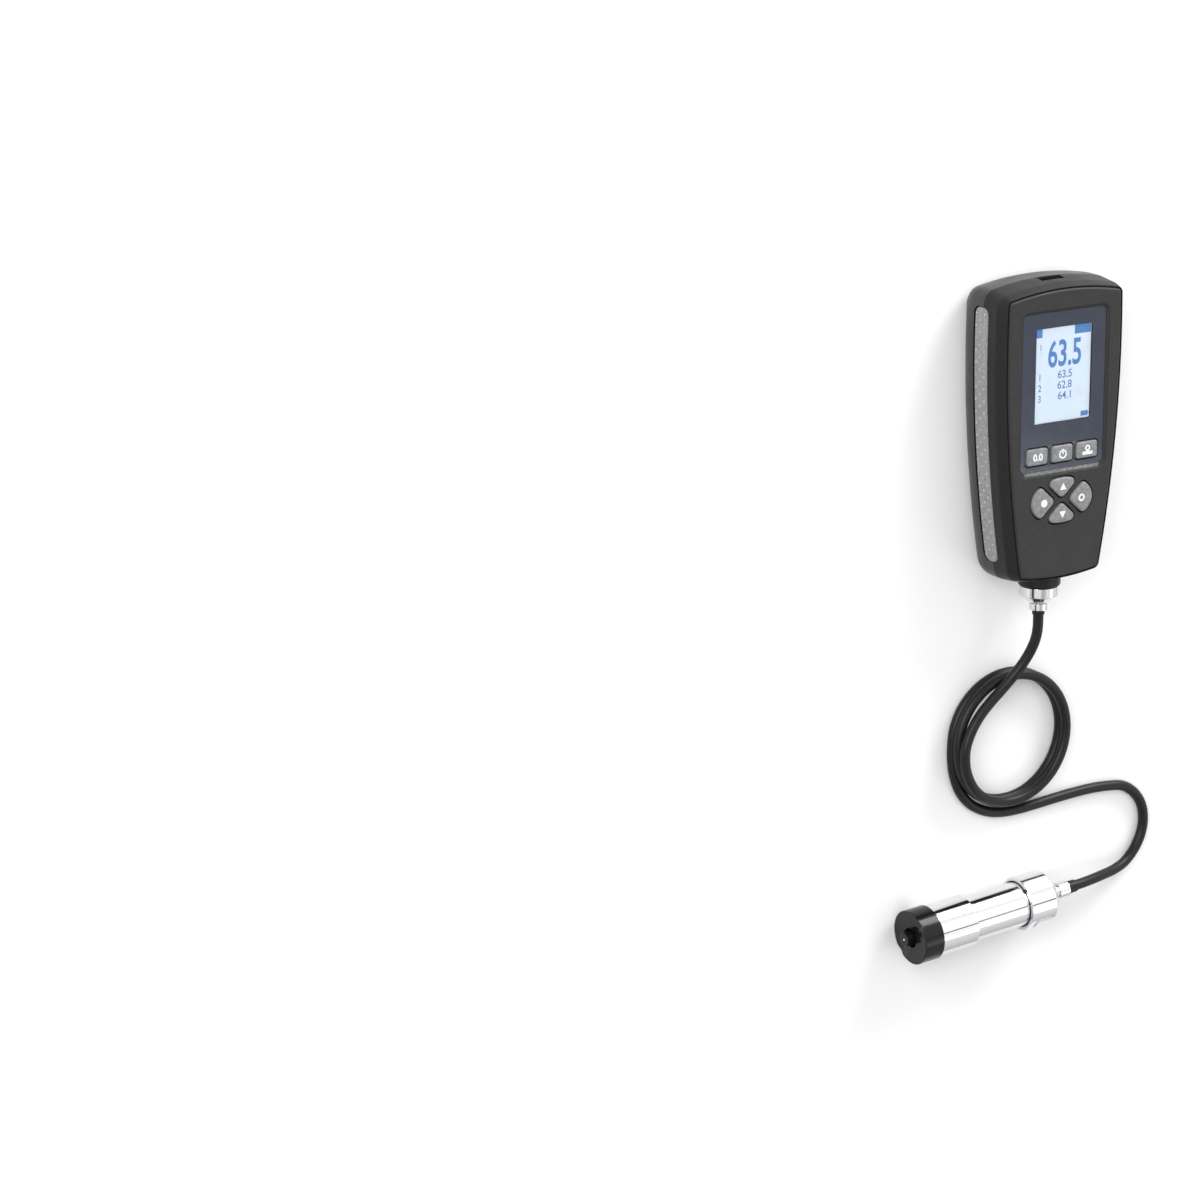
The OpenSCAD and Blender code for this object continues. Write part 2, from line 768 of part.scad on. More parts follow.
module socket_nut() {
    nut_h = 2.4;
    nut_wide = 1.3;
    across = thread_d * nut_wide;
    on_plug() color(STEEL) translate([0, 0, panel_in - slip - nut_h]) difference() {
        cylinder(h = nut_h, d = across, $fn = 6);
        translate([0, 0, -over]) cylinder(h = nut_h + 2 * over, r = barrel_r + run, $fn = 64);
    }
}

module plug_body() {
    pin_room = 1;
    start = panel_in - socket_floor + pin_room;
    on_plug() color(CHROME) lathe([
        [start, 0], [start, insert_r], [nose_end + loose, insert_r],
        [nose_end + loose, thread_d / 2 - loose], [nut_end - loose, thread_d / 2 - loose],
        [nut_end - loose, neck_r], [clamp_end, neck_r], [clamp_end, 0]]);
}

module coupling_nut() {
    bore = thread_d / 2 + run;
    on_plug() color(CHROME) lathe([
        [nut_start, bore], [nut_start, nut_d / 2 - turn_edge], [nut_start + turn_edge, nut_d / 2],
        [nut_end, nut_d / 2], [taper_end, clamp_d / 2 + turn_edge], [taper_end, neck_r + run],
        [nut_end, neck_r + run], [nut_end, bore]]);
}

module clamp_ring() {
    on_plug() color(CHROME) lathe([
        [clamp_start, neck_r + run], [clamp_start, clamp_d / 2], [clamp_end - turn_edge, clamp_d / 2],
        [clamp_end, clamp_d / 2 - turn_edge], [clamp_end, neck_r + run]]);
}

module plug_boot() {
    boot_wall = 0.45;
    on_plug() color(BLACK) translate([0, 0, clamp_end])
        cylinder(h = boot_l, r = cable_d / 2 + boot_wall, $fn = 64);
}

// Cable: its line from the plug to the coil, and from the coil to the probe, on the surface the meter lies on
coil_x = -4;
coil_y = -154;
coil_r = 31.5;
coil_layers = 2;
lie = cable_d / 2;
RUN_GAUGE = [
    [0, -boot_end, part_z], [0, -97, 19.8], [-0.6, -103, 18.8], [-2.2, -109, 17.1], [-5, -115, 15.2],
    [-9.2, -121, 13.5], [-14.8, -127, 12.3], [-21, -132.6, 11.8], [-27, -138.6, 11.8],
    [-31.8, -145.4, 12.1], [-34.8, -153, 12.4], [-35.2, -161, 12.3], [-33, -169, 11.6]
];
RUN_PROBE = [
    [-35.5, -154, lie], [-35.4, -162, lie], [-33.6, -170.4, lie], [-29.8, -178.4, lie], [-24, -185, lie],
    [-16.4, -189.6, lie], [-8, -192, lie], [2, -192.6, lie], [13, -192, lie], [25, -191, lie],
    [37, -190.2, lie], [48.5, -189.9, lie], [59.5, -190.6, lie], [67.5, -192.2, lie], [74.3, -196.8, lie],
    [78.9, -203.6, lie], [80.5, -211.6, lie], [78.9, -219.6, 2.7], [74.3, -226.4, 3.4], [67.5, -231, 4.9],
    [59.5, -232.7, 7.1], [51, -232.9, 9.6], [43, -233, 11.7], [36.4, -233.2, 12.9],
    [31.4, -233.5, probe_d / 2]
];

module cable_run_gauge() color(BLACK) tube(RUN_GAUGE, cable_d / 2, 10);
module cable_run_probe() color(BLACK) tube(RUN_PROBE, cable_d / 2, 10);

module cable_coil() {
    stack = (coil_layers - 1) * cable_d;
    color(BLACK) translate([coil_x, coil_y, cable_d / 2]) rotate_extrude($fn = 96) translate([coil_r, 0]) {
        circle(d = cable_d, $fn = 32);
        translate([0, stack]) circle(d = cable_d, $fn = 32);
        translate([-cable_d / 2, 0]) square([cable_d, stack]);
    }
}

// Probe, along its own axis from the nose face (0) to the cable
sleeve_end = cap_l + sleeve_l;
tube_end = sleeve_end + tube_l;
collar_end = tube_end + collar_l;
cone_end = collar_end + cone_l;
neck_l = 1.5;
gland_start = cone_end + neck_l;
gland_end = gland_start + gland_l;
probe_l = gland_end + probe_boot_l;
probe_turn = 4.5;
CABLE_END = RUN_PROBE[len(RUN_PROBE) - 1];
spigot_l = 4;
spigot_step = 1;
spigot_r = tube_d / 2 - spigot_step;
spigot_end = cap_l + spigot_l;
tube_start = spigot_end + spigot_step;
tube_back = tube_end + collar_l / 2;
tube_wall = 1.6;
tube_bore = tube_d / 2 - tube_wall;
shoulder_z = spigot_end + slip;
shoulder_h = 2;
shoulder_w = 2;
shoulder_r = pin_d / 2 + shoulder_w;
pin_tail = 9;
pin_end = shoulder_z + shoulder_h + pin_tail;
spring_room = 1;
seat_at = pin_end + pin_travel + spring_room;
pole_r = 0.6;
pole_in = 0.3;
pole_l = 2;
jacket_t = 1;
wire_r = cable_d / 2 - jacket_t;

module on_probe() {
    translate([CABLE_END[0], CABLE_END[1], probe_d / 2]) rotate([0, 0, probe_turn]) rotate([0, 90, 0])
        translate([0, 0, -probe_l]) children();
}

module nose_cap() {
    bore = pin_d / 2 + run;
    on_probe() color(BLACK) difference() {
        lathe([
            [0, well_d / 2], [0, probe_d / 2 - turn_edge], [turn_edge, probe_d / 2], [cap_l, probe_d / 2],
            [cap_l, spigot_r], [spigot_end, spigot_r], [spigot_end, bore], [well_l, bore],
            [well_l, well_d / 2]]);
        rotate(vee_roll) translate([0, probe_d, 0]) rotate([90, 0, 0]) linear_extrude(2 * probe_d)
            polygon([[-vee_w / 2, 0], [-vee_w / 2, -over], [vee_w / 2, -over], [vee_w / 2, 0], [0, vee_d]]);
    }
}

module front_sleeve() {
    on_probe() color(CHROME) lathe([
        [cap_l, spigot_r + run], [cap_l, sleeve_d / 2], [sleeve_end - turn_edge, sleeve_d / 2],
        [sleeve_end, sleeve_d / 2 - turn_edge], [sleeve_end, tube_d / 2 + run],
        [tube_start, tube_d / 2 + run],
        [tube_start, spigot_r + run]]);
}

module probe_tube() {
    on_probe() color(CHROME) lathe([
        [tube_start + slip, tube_bore], [tube_start + slip, tube_d / 2], [tube_back, tube_d / 2],
        [tube_back, tube_bore]]);
}

seal_h = 1.1;
seal_out = 0.5;
seal_t = 1;
seal_start = tube_end - seal_out;
seal_end = seal_start + seal_h;
seal_r = tube_d / 2 + seal_t;

module collar_seal() {
    on_probe() color(BLACK) lathe([
        [seal_start, tube_d / 2 + run], [seal_start, seal_r], [seal_end, seal_r],
        [seal_end, tube_d / 2 + run]]);
}

// The collar has two flats for a spanner, a bore for the tube and a hollow cone for the wires
module rear_collar() {
    flat_l = 4.5;
    flat_in = 0.7;
    cone_wall = 2.3;
    neck_wall = 0.9;
    back_t = 2;
    cone_r = cable_d / 2 + cone_wall;
    neck = cable_d / 2 + neck_wall;
    cavity_end = collar_end - back_t;
    seat = seal_end + slip;
    on_probe() color(CHROME) difference() {
        lathe([
            [tube_end, seal_r + slip], [tube_end, probe_d / 2 - turn_edge],
            [tube_end + turn_edge, probe_d / 2],
            [collar_end - turn_edge, probe_d / 2], [collar_end, probe_d / 2 - turn_edge], [cone_end, cone_r],
            [cone_end, neck], [gland_start, neck], [gland_start, wire_r], [cavity_end, wire_r],
            [cavity_end, tube_bore], [tube_back + slip, tube_bore], [tube_back + slip, tube_d / 2 + run],
            [seat, tube_d / 2 + run], [seat, seal_r + slip]]);
        for (s = [0, 180]) rotate(vee_roll + s)
            translate([probe_d / 2 - flat_in, -probe_d / 2, tube_end - over])
                cube([probe_d, probe_d, flat_l + over]);
    }
}

module probe_gland() {
    gland_wall = 1.6;
    gland_r = cable_d / 2 + gland_wall;
    on_probe() color(CHROME) lathe([
        [gland_start, wire_r], [gland_start, gland_r - turn_edge], [gland_start + turn_edge, gland_r],
        [gland_end - turn_edge, gland_r], [gland_end, gland_r - turn_edge], [gland_end, wire_r]]);
}

module probe_boot() {
    root_t = 0.7;
    tip_t = 0.5;
    on_probe() color(BLACK) translate([0, 0, gland_end])
        cylinder(h = probe_boot_l, r1 = cable_d / 2 + root_t, r2 = cable_d / 2 + tip_t, $fn = 64);
}

module sensor_pin() {
    tip_edge = 0.7;
    tail_step = 0.6;
    tail_r = pin_d / 2 - tail_step;
    on_probe() color(BLACK) lathe([
        [-pin_out, pole_r + run], [-pin_out, pin_d / 2 - tip_edge], [tip_edge - pin_out, pin_d / 2],
        [shoulder_z, pin_d / 2], [shoulder_z, shoulder_r], [shoulder_z + shoulder_h, shoulder_r],
        [shoulder_z + shoulder_h, tail_r], [pin_end, tail_r], [pin_end, 0], [pole_l, 0],
        [pole_l, pole_r + run]]);
}

module pole_tip() {
    on_probe() color(STEEL) {
        translate([0, 0, pole_in - pin_out])
            cylinder(h = pole_l - slip + pin_out - pole_in, r = pole_r, $fn = 32);
        translate([0, 0, pole_in - pin_out]) sphere(r = pole_r, $fn = 32);
    }
}

module pin_spring() {
    turns = 6;
    coil_mean = shoulder_r - spring_wire;
    first = shoulder_z + shoulder_h + spring_wire / 2 + slip;
    on_probe() color(STEEL)
        coil_spring(first, seat_at - spring_wire / 2 - slip, coil_mean, coil_mean, turns, spring_wire);
}

module spring_seat() {
    seat_h = 5;
    seat_hole = 2;
    on_probe() color(BRASS) lathe([
        [seat_at, seat_hole], [seat_at, tube_bore - run], [seat_at + seat_h, tube_bore - run],
        [seat_at + seat_h, seat_hole]]);
}

front_shell();
rear_shell();
grip_left();
grip_right();
display_window();
lcd_glass();
lcd_frame();
key_calibrate();
key_power();
key_print();
pad_up();
pad_down_key();
pad_left();
pad_right();
keypad_mat();
main_board();
buzzer();
usb_socket();
case_screws();
battery_cells();
battery_springs();
battery_plates();
battery_door();
socket_body();
socket_nut();
plug_body();
coupling_nut();
clamp_ring();
plug_boot();
cable_run_gauge();
cable_coil();
cable_run_probe();
probe_boot();
probe_gland();
rear_collar();
collar_seal();
probe_tube();
front_sleeve();
nose_cap();
sensor_pin();
pole_tip();
pin_spring();
spring_seat();
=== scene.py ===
"""Looks of a hand-held coating thickness gauge: case, display, keys, grips, plug, coiled cable and probe.

Sizes are in millimetres here, in the part's own frame, and become metres when a mesh is made.
"""
import math

import bmesh
import bpy
from mathutils import Matrix, Vector


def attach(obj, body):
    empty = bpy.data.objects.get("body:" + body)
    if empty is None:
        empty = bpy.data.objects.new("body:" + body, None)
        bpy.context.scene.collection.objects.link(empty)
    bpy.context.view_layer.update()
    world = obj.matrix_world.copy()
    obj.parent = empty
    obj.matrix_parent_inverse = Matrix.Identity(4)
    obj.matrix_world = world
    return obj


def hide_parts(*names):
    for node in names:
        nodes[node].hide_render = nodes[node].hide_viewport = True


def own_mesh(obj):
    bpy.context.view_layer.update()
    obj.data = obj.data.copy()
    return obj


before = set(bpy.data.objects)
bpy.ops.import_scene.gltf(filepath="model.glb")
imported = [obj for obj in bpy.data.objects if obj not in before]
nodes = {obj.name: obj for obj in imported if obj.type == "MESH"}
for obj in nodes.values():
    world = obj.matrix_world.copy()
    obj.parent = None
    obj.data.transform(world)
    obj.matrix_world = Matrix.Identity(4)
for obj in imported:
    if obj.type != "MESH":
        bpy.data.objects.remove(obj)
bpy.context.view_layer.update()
MM = 0.001
ROOT = "gauge"

# Case sizes
HALF_L, HALF_W, PLATE_Z = 71.5, 35.5, 35.5
WIDE_Y, SIDE_R, TOP_R, BOTTOM_R, CORNER_R = 43.5, 620.0, 150.0, 130.0, 7.0
BACK_W, BACK_H, WALL, PART_Z = 8.0, 12.5, 3.0, 20.0
STRIP_W, STRIP_H, END_LEAN, LIP, GROOVE_W, GROOVE_D, STEP = 2.7, 4.7, 2.6, 0.3, 0.7, 0.9, 0.8
RIM_Z = PLATE_Z - STEP
STRIP_Z = RIM_Z - STRIP_H
INNER_Z = RIM_Z - WALL
LEAN_MID = END_LEAN * 0.45
PLATE_IN, PLATE_END = STRIP_W + LIP + GROOVE_W, END_LEAN + LIP + GROOVE_W
PLATE_EDGE, HOLE_EDGE, RIM_EDGE, SHARPER = 1.1, 0.3, 0.35, 1.46

# The eased edge at the case's parting line: distances from it, and how far the outline is drawn in
SEAM = ((0.02, 0.32), (0.12, 0.1), (0.35, 0.0))

# Display and keys
WINDOW_W, WINDOW_H, WINDOW_Y, WINDOW_R = 47.2, 74.0, 20.8, 3.0
RECESS_Z, WINDOW_Z, SLOPE, SILL_MORE = 33.6, 34.5, 1.3, 0.8
VIEW_W, VIEW_H, VIEW_Y = 32.0, 44.8, 28.3
GLASS_W, GLASS_H, GLASS_T, GLASS_Z = VIEW_W + 3.6, VIEW_H + 3.6, 1.1, RECESS_Z - 0.1
ROW_W, ROW_H, ROW_PITCH, ROW_Y, ROW_R = 11.9, 7.8, 14.2, -9.1, 1.2
PAD_W, PAD_H, PAD_Y, PAD_GAP, PAD_TIP, PAD_SLANT, PAD_R = 34.6, 21.6, -31.2, 3.2, 0.8, 43.0, 2.2
KEY_RISE, KEY_GAP, KEY_FOOT = 1.1, 0.7, INNER_Z - 1.4
MARK_IN, MARK_T, MARK_R, MARK_OUT = 0.18, 0.2, 1.75, 0.31

# Grips, battery door, screw wells and port
GRIP_W, GRIP_L, GRIP_Z, GRIP_R, GRIP_OUT = 9.6, 121.0, 18.8, 3.4, 0.3
DOOR_HALF, DOOR_END, DOOR_LIP, DOOR_T, DOOR_GAP = 16.95, 12.7, 9.0, 1.6, 0.3
BAY_HALF, BAY_Y0, BAY_Y1, BAY_TOP = 15.35, -45.7, 9.7, 17.25
POCKET_T, BACK_TOP, WELL_R, WELL_TOP = 1.9, 16.0, 2.91, 6.0
PORT_HALF, PORT_Z0, PORT_Z1 = 6.5, 20.6, 25.4

# Cable: the solids' points, except RUN_OFF, where it leaves the coil's bottom turn
CABLE_D = 5.0
COIL = (-4.0, -154.0, 31.5)
RUN_GAUGE = [
    (0, -90, 20), (0, -97, 19.8), (-0.6, -103, 18.8), (-2.2, -109, 17.1), (-5, -115, 15.2), (-9.2, -121, 13.5),
    (-14.8, -127, 12.3), (-21, -132.6, 11.8), (-27, -138.6, 11.8), (-31.8, -145.4, 12.1), (-34.8, -153, 12.4)]
RUN_OFF = [(-35.4, -161, 2.5), (-33.9, -169.6, 2.5), (-30.2, -178.2, 2.5), (-24.2, -185, 2.5)]
RUN_PROBE = [
    (-16.4, -189.6, 2.5), (-8, -192, 2.5), (2, -192.6, 2.5), (13, -192, 2.5), (25, -191, 2.5), (37, -190.2, 2.5),
    (48.5, -189.9, 2.5), (59.5, -190.6, 2.5), (67.5, -192.2, 2.5), (74.3, -196.8, 2.5), (78.9, -203.6, 2.5),
    (80.5, -211.6, 2.5), (78.9, -219.6, 2.7), (74.3, -226.4, 3.4), (67.5, -231, 4.9), (59.5, -232.7, 7.1),
    (51, -232.9, 9.6), (43, -233, 11.7), (36.4, -233.2, 12.9), (31.4, -233.5, 13.2)]

# Probe axis: from the cable end to the nose
PROBE_D, PROBE_L, PROBE_TURN = 26.4, 97.3, math.radians(4.5)
CABLE_END = Vector((31.4, -233.5, PROBE_D / 2))

# Play between turned pieces that lie in each other
FIT = 0.05


# Materials

def shader(m):
    return m.node_tree.nodes["Principled BSDF"].inputs


def colours(sockets):
    """A mix node's colour sockets by name."""
    return {s.name: s for s in sockets if s.type == "RGBA"}


def finish(name, colour, rough, metal=0.0, **sockets):
    """A Principled material; further sockets are set by name."""
    m = bpy.data.materials.new(name)
    m.use_nodes = True
    p = shader(m)
    p["Base Color"].default_value = (*colour, 1)
    p["Roughness"].default_value = rough
    p["Metallic"].default_value = metal
    for key, value in sockets.items():
        p[key.replace("_", " ")].default_value = value
    return m


def noise(m, scale, detail=3.0):
    where = m.node_tree.nodes.new("ShaderNodeTexCoord")
    tex = m.node_tree.nodes.new("ShaderNodeTexNoise")
    tex.inputs["Scale"].default_value, tex.inputs["Detail"].default_value = scale, detail
    m.node_tree.links.new(where.outputs["Object"], tex.inputs["Vector"])
    return tex.outputs["Fac"]


def spread(m, value, low, high):
    """Maps a noise to a range of numbers."""
    t = m.node_tree.nodes.new("ShaderNodeMapRange")
    t.inputs["From Min"].default_value, t.inputs["From Max"].default_value = 0.3, 0.7
    t.inputs["To Min"].default_value, t.inputs["To Max"].default_value = low, high
    m.node_tree.links.new(value, t.inputs["Value"])
    return t.outputs["Result"]


def tint(m, value, dark, light, socket="Base Color"):
    """Mottles a colour between two by a noise."""
    t = m.node_tree.nodes.new("ShaderNodeMix")
    t.data_type = "RGBA"
    for key, colour in (("A", dark), ("B", light)):
        colours(t.inputs)[key].default_value = (*colour, 1)
    m.node_tree.links.new(spread(m, value, 0, 1), t.inputs[0])
    m.node_tree.links.new(colours(t.outputs)["Result"], shader(m)[socket])


def grain(m, value, strength, depth_mm):
    b = m.node_tree.nodes.new("ShaderNodeBump")
    b.inputs["Strength"].default_value, b.inputs["Distance"].default_value = strength, depth_mm * MM
    m.node_tree.links.new(value, b.inputs["Height"])
    m.node_tree.links.new(b.outputs["Normal"], shader(m)["Normal"])


def roughen(m, value, low, high):
    m.node_tree.links.new(spread(m, value, low, high), shader(m)["Roughness"])


def moulded(name, dark, light, rough, scale, strength, depth_mm, shine=0.5):
    """Moulded plastic or rubber: fine grain, faint mottling, uneven gloss."""
    m = finish(name, light, rough, Specular_IOR_Level=shine)
    fine = noise(m, scale, 2.0)
    tint(m, noise(m, scale * 0.31, 4.0), dark, light)
    roughen(m, noise(m, 90.0), rough - 0.05, rough + 0.05)
    grain(m, fine, strength, depth_mm)
    return m


def turned_metal(name, colour, low, high):
    """Plated metal with faint turning and handling marks."""
    m = finish(name, colour, low, 1.0)
    roughen(m, noise(m, 160.0, 5.0), low, high)
    grain(m, noise(m, 700.0, 2.0), 0.05, 0.01)
    return m


SHELL = moulded("shell_charcoal", (0.009, 0.009, 0.0095), (0.014, 0.014, 0.0145), 0.46, 2600.0, 0.35, 0.05, 0.18)
REAR = moulded("rear_charcoal", (0.010, 0.010, 0.0105), (0.016, 0.016, 0.0165), 0.38, 2600.0, 0.35, 0.05, 0.52)
PLATE = moulded("plate_charcoal", (0.019, 0.019, 0.0195), (0.026, 0.026, 0.0265), 0.48, 2300.0, 0.45, 0.06, 0.28)
# Painted highlight: a far lighter charcoal for the window's lower slope, which faces the light
SILL_PAINTED_HIGHLIGHT = moulded("sill_painted_highlight", (0.060, 0.060, 0.060), (0.200, 0.200, 0.198), 0.38, 1500.0, 1.0, 0.12, 0.5)
GRIP = moulded("grip_grey", (0.195, 0.197, 0.197), (0.265, 0.268, 0.268), 0.62, 1700.0, 0.5, 0.08, 0.3)
# Painted highlight: the dots are a lighter grey than the strip, standing in for the light on each dome
DOTS_HIGHLIGHT = moulded("grip_dot_painted_highlight", (0.29, 0.292, 0.292), (0.37, 0.372, 0.372), 0.34, 1700.0, 0.2, 0.04, 0.6)
# Painted shade: a near-black strip put in the grips' channels where the gap is only in shadow
GAP_SHADE = moulded("gap_painted_shade", (0.0015, 0.0015, 0.0015), (0.0025, 0.0025, 0.0025), 0.9, 1500.0, 0.2, 0.04, 0.05)
KEYS = moulded("key_grey", (0.155, 0.157, 0.159), (0.245, 0.248, 0.250), 0.44, 1700.0, 0.5, 0.06, 0.45)
RUBBER = moulded("mat_rubber", (0.012, 0.012, 0.012), (0.018, 0.018, 0.018), 0.55, 1500.0, 0.3, 0.05, 0.2)
BLACK = moulded("black_gloss", (0.004, 0.004, 0.0045), (0.007, 0.007, 0.0075), 0.18, 1900.0, 0.08, 0.02, 0.24)
FLANGE = moulded("flange_black", (0.007, 0.007, 0.0075), (0.011, 0.011, 0.0115), 0.42, 1900.0, 0.2, 0.03, 0.22)
JACKET = moulded("cable_jacket", (0.005, 0.005, 0.0055), (0.009, 0.009, 0.009), 0.40, 1500.0, 0.25, 0.03, 0.25)
CHROME = turned_metal("chrome", (0.70, 0.705, 0.71), 0.05, 0.09)
STEEL = turned_metal("steel", (0.56, 0.57, 0.58), 0.25, 0.38)
BRASS = turned_metal("brass", (0.70, 0.50, 0.20), 0.22, 0.35)
SHEET = moulded("window_print", (0.020, 0.027, 0.045), (0.024, 0.032, 0.052), 0.12, 900.0, 0.02, 0.01, 0.45)
PANE = finish("window_clear", (0.94, 0.97, 1.0), 0.03, Transmission_Weight=1.0, IOR=1.1)
roughen(PANE, noise(PANE, 70.0, 4.0), 0.02, 0.05)
SYMBOL = moulded("symbol_white", (0.82, 0.82, 0.82), (0.88, 0.88, 0.88), 0.5, 1200.0, 0.05, 0.01)
INK = moulded("display_ink", (0.035, 0.12, 0.32), (0.055, 0.16, 0.38), 0.4, 3000.0, 0.05, 0.01)
LIT = moulded("display_lit", (0.28, 0.32, 0.355), (0.31, 0.35, 0.385), 0.3, 3000.0, 0.02, 0.01, 0.3)
for glow, lit, level in ((INK, (0.07, 0.21, 0.50), 0.25), (LIT, (0.70, 0.77, 0.85), 0.58)):
    shader(glow)["Emission Strength"].default_value = level
    tint(glow, noise(glow, 45.0), [c * 0.96 for c in lit], lit, "Emission Color")
BOARD = moulded("board_green", (0.012, 0.10, 0.045), (0.018, 0.14, 0.06), 0.3, 600.0, 0.1, 0.02)
CELL = moulded("cell_sleeve", (0.05, 0.16, 0.28), (0.07, 0.20, 0.34), 0.25, 300.0, 0.02, 0.01)
WHITE = moulded("diffuser_white", (0.68, 0.68, 0.66), (0.74, 0.74, 0.72), 0.45, 900.0, 0.05, 0.01)


# Mesh making

def work_object(data):
    """A passing object for modifiers to work on."""
    o = bpy.data.objects.new("work", data)
    bpy.context.scene.collection.objects.link(o)
    return o


def worked(o, *others):
    """The mesh that an object's modifiers give; it and the others that it used are taken away."""
    bpy.context.view_layer.update()
    out = bpy.data.meshes.new_from_object(o.evaluated_get(bpy.context.evaluated_depsgraph_get()))
    for passing in (o, *others):
        bpy.data.objects.remove(passing)
    return out


def evenly_shaded(mesh):
    """Smooth shading that follows a mesh's larger faces, so that flats stay flat up to their rounded edges."""
    o = work_object(mesh)
    mod = o.modifiers.new("normals", "WEIGHTED_NORMAL")
    mod.keep_sharp, mod.weight = True, 70
    return worked(o)


def place(name, mesh, mat, body=ROOT, stands_for=(), sharp=32):
    """Makes a finished piece of a mesh that is already in metres."""
    cleaned(mesh)
    mesh.polygons.foreach_set("use_smooth", [True] * len(mesh.polygons))
    mesh.set_sharp_from_angle(angle=math.radians(sharp))
    mesh = evenly_shaded(mesh)
    mesh.materials.clear()
    mesh.materials.append(mat)
    o = bpy.data.objects.new(name, mesh)
    o.data.name = name
    bpy.context.scene.collection.objects.link(o)
    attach(o, body)
    if stands_for:
        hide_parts(*stands_for)
    return o


def cleaned(mesh):
    """Points that lie on each other made one, no loose edges, and faces outward."""
    bm = bmesh.new()
    bm.from_mesh(mesh)
    bmesh.ops.remove_doubles(bm, verts=bm.verts, dist=1e-7)
    bmesh.ops.delete(bm, geom=[e for e in bm.edges if not e.link_faces], context="EDGES")
    bmesh.ops.recalc_face_normals(bm, faces=bm.faces)
    bm.to_mesh(mesh)
    bm.free()
    mesh.update()


def mesh_of(verts, faces):
    mesh = bpy.data.meshes.new("work")
    mesh.from_pydata([Vector(v) * MM for v in verts], [], faces)
    cleaned(mesh)
    return mesh


def skin(rings, ends=True, wrap=False):
    """Quads over rings of points; ends caps the first and last ring, wrap joins them."""
    n = len(rings[0])
    verts = [p for r in rings for p in r]
    faces = []
    last = len(rings) if wrap else len(rings) - 1
    for i in range(last):
        a, b = i * n, ((i + 1) % len(rings)) * n
        faces += [(a + j, a + (j + 1) % n, b + (j + 1) % n, b + j) for j in range(n)]
    if ends and not wrap:
        faces += [tuple(range(n - 1, -1, -1)), tuple(range((len(rings) - 1) * n, len(rings) * n))]
    return verts, faces


def joined(*parts):
    verts, faces = [], []
    for v, f in parts:
        faces += [tuple(i + len(verts) for i in q) for q in f]
        verts += v
    return verts, faces


def combine(mesh, cutters, kind="DIFFERENCE"):
    """Cuts meshes out of a mesh, or keeps what they share."""
    o, others = work_object(mesh), [work_object(c) for c in cutters]
    for other in others:
        mod = o.modifiers.new("cut", "BOOLEAN")
        mod.operation, mod.solver, mod.object = kind, "EXACT", other
    return worked(o, *others)


def softened(mesh, width_mm, segments, angle):
    """Rounds a mesh's hard edges a little."""
    o = work_object(mesh)
    mod = o.modifiers.new("edge", "BEVEL")
    mod.width, mod.segments, mod.limit_method = width_mm * MM, segments, "ANGLE"
    mod.angle_limit, mod.use_clamp_overlap = math.radians(angle), True
    return worked(o)


def circle(n, shift=0.0):
    """The cosine and sine of each of n equal steps round."""
    angles = [2 * math.pi * (j + shift) / n for j in range(n)]
    return [(math.cos(a), math.sin(a)) for a in angles]


def arc(c, r, a0, a1, n, last=0):
    return [(c[0] + r * math.cos(math.radians(a0 + (a1 - a0) * i / n)),
             c[1] + r * math.sin(math.radians(a0 + (a1 - a0) * i / n))) for i in range(n + last)]


def heading(a, b):
    return math.degrees(math.atan2(b[1] - a[1], b[0] - a[0]))


def meet(p, rp, q, rq, side):
    """Where two circles cross, on the right (1) or left (-1) of the line from p to q."""
    dx, dy = q[0] - p[0], q[1] - p[1]
    d = math.hypot(dx, dy)
    ux, uy = dx / d, dy / d
    a = (rp * rp - rq * rq + d * d) / (2 * d)
    h = side * math.sqrt(rp * rp - a * a)
    return p[0] + a * ux + h * uy, p[1] + a * uy - h * ux


def outline(side_in, end_in, c):
    """The case's outline, drawn in at its sides and ends."""
    s, t, b = (HALF_W - SIDE_R, WIDE_Y), (0, HALF_L - TOP_R), (0, BOTTOM_R - HALF_L)
    rs, rt, rb = SIDE_R - side_in, TOP_R - end_in, BOTTOM_R - end_in
    p, q = meet(s, rs - c, t, rt - c, -1), meet(s, rs - c, b, rb - c, 1)
    half = (arc(b, rb, -90, heading(b, q), 12) + arc(q, c, heading(b, q), heading(s, q), 12)
            + arc(s, rs, heading(s, q), heading(s, p), 36) + arc(p, c, heading(s, p), heading(t, p), 12)
            + arc(t, rt, heading(t, p), 90, 12, 1))
    return half + [(-x, y) for x, y in half[-2:0:-1]]


def corner_at(side):
    """The outline's corner radius, which grows sharper towards the front."""
    return CORNER_R - SHARPER * side


def half_width(y):
    return HALF_W - SIDE_R + math.sqrt(SIDE_R ** 2 - (y - WIDE_Y) ** 2)


def at(loop, z):
    return [(x, y, z) for x, y in loop]


def rounded_rect(w, h, r, cx=0.0, cy=0.0, n=8):
    corners = ((1, 1, 0), (-1, 1, 90), (-1, -1, 180), (1, -1, 270))
    return [p for sx, sy, a in corners
            for p in arc((cx + sx * (w / 2 - r), cy + sy * (h / 2 - r)), r, a, a + 90, n, 1)]


def grown(loop, d):
    """A loop moved outwards by d along its own normals; the loop runs counter-clockwise."""
    out = []
    n = len(loop)
    for i in range(n):
        (x0, y0), (x1, y1), (x2, y2) = loop[i - 1], loop[i], loop[(i + 1) % n]
        e, f = Vector((x1 - x0, y1 - y0)), Vector((x2 - x1, y2 - y1))
        e, f = (e if e.length > 1e-9 else f).normalized(), (f if f.length > 1e-9 else e).normalized()
        m = Vector((e.y + f.y, -e.x - f.x)).normalized()
        k = max(m.dot(Vector((e.y, -e.x))), 0.4)
        out.append((x1 + m.x * d / k, y1 + m.y * d / k))
    return out


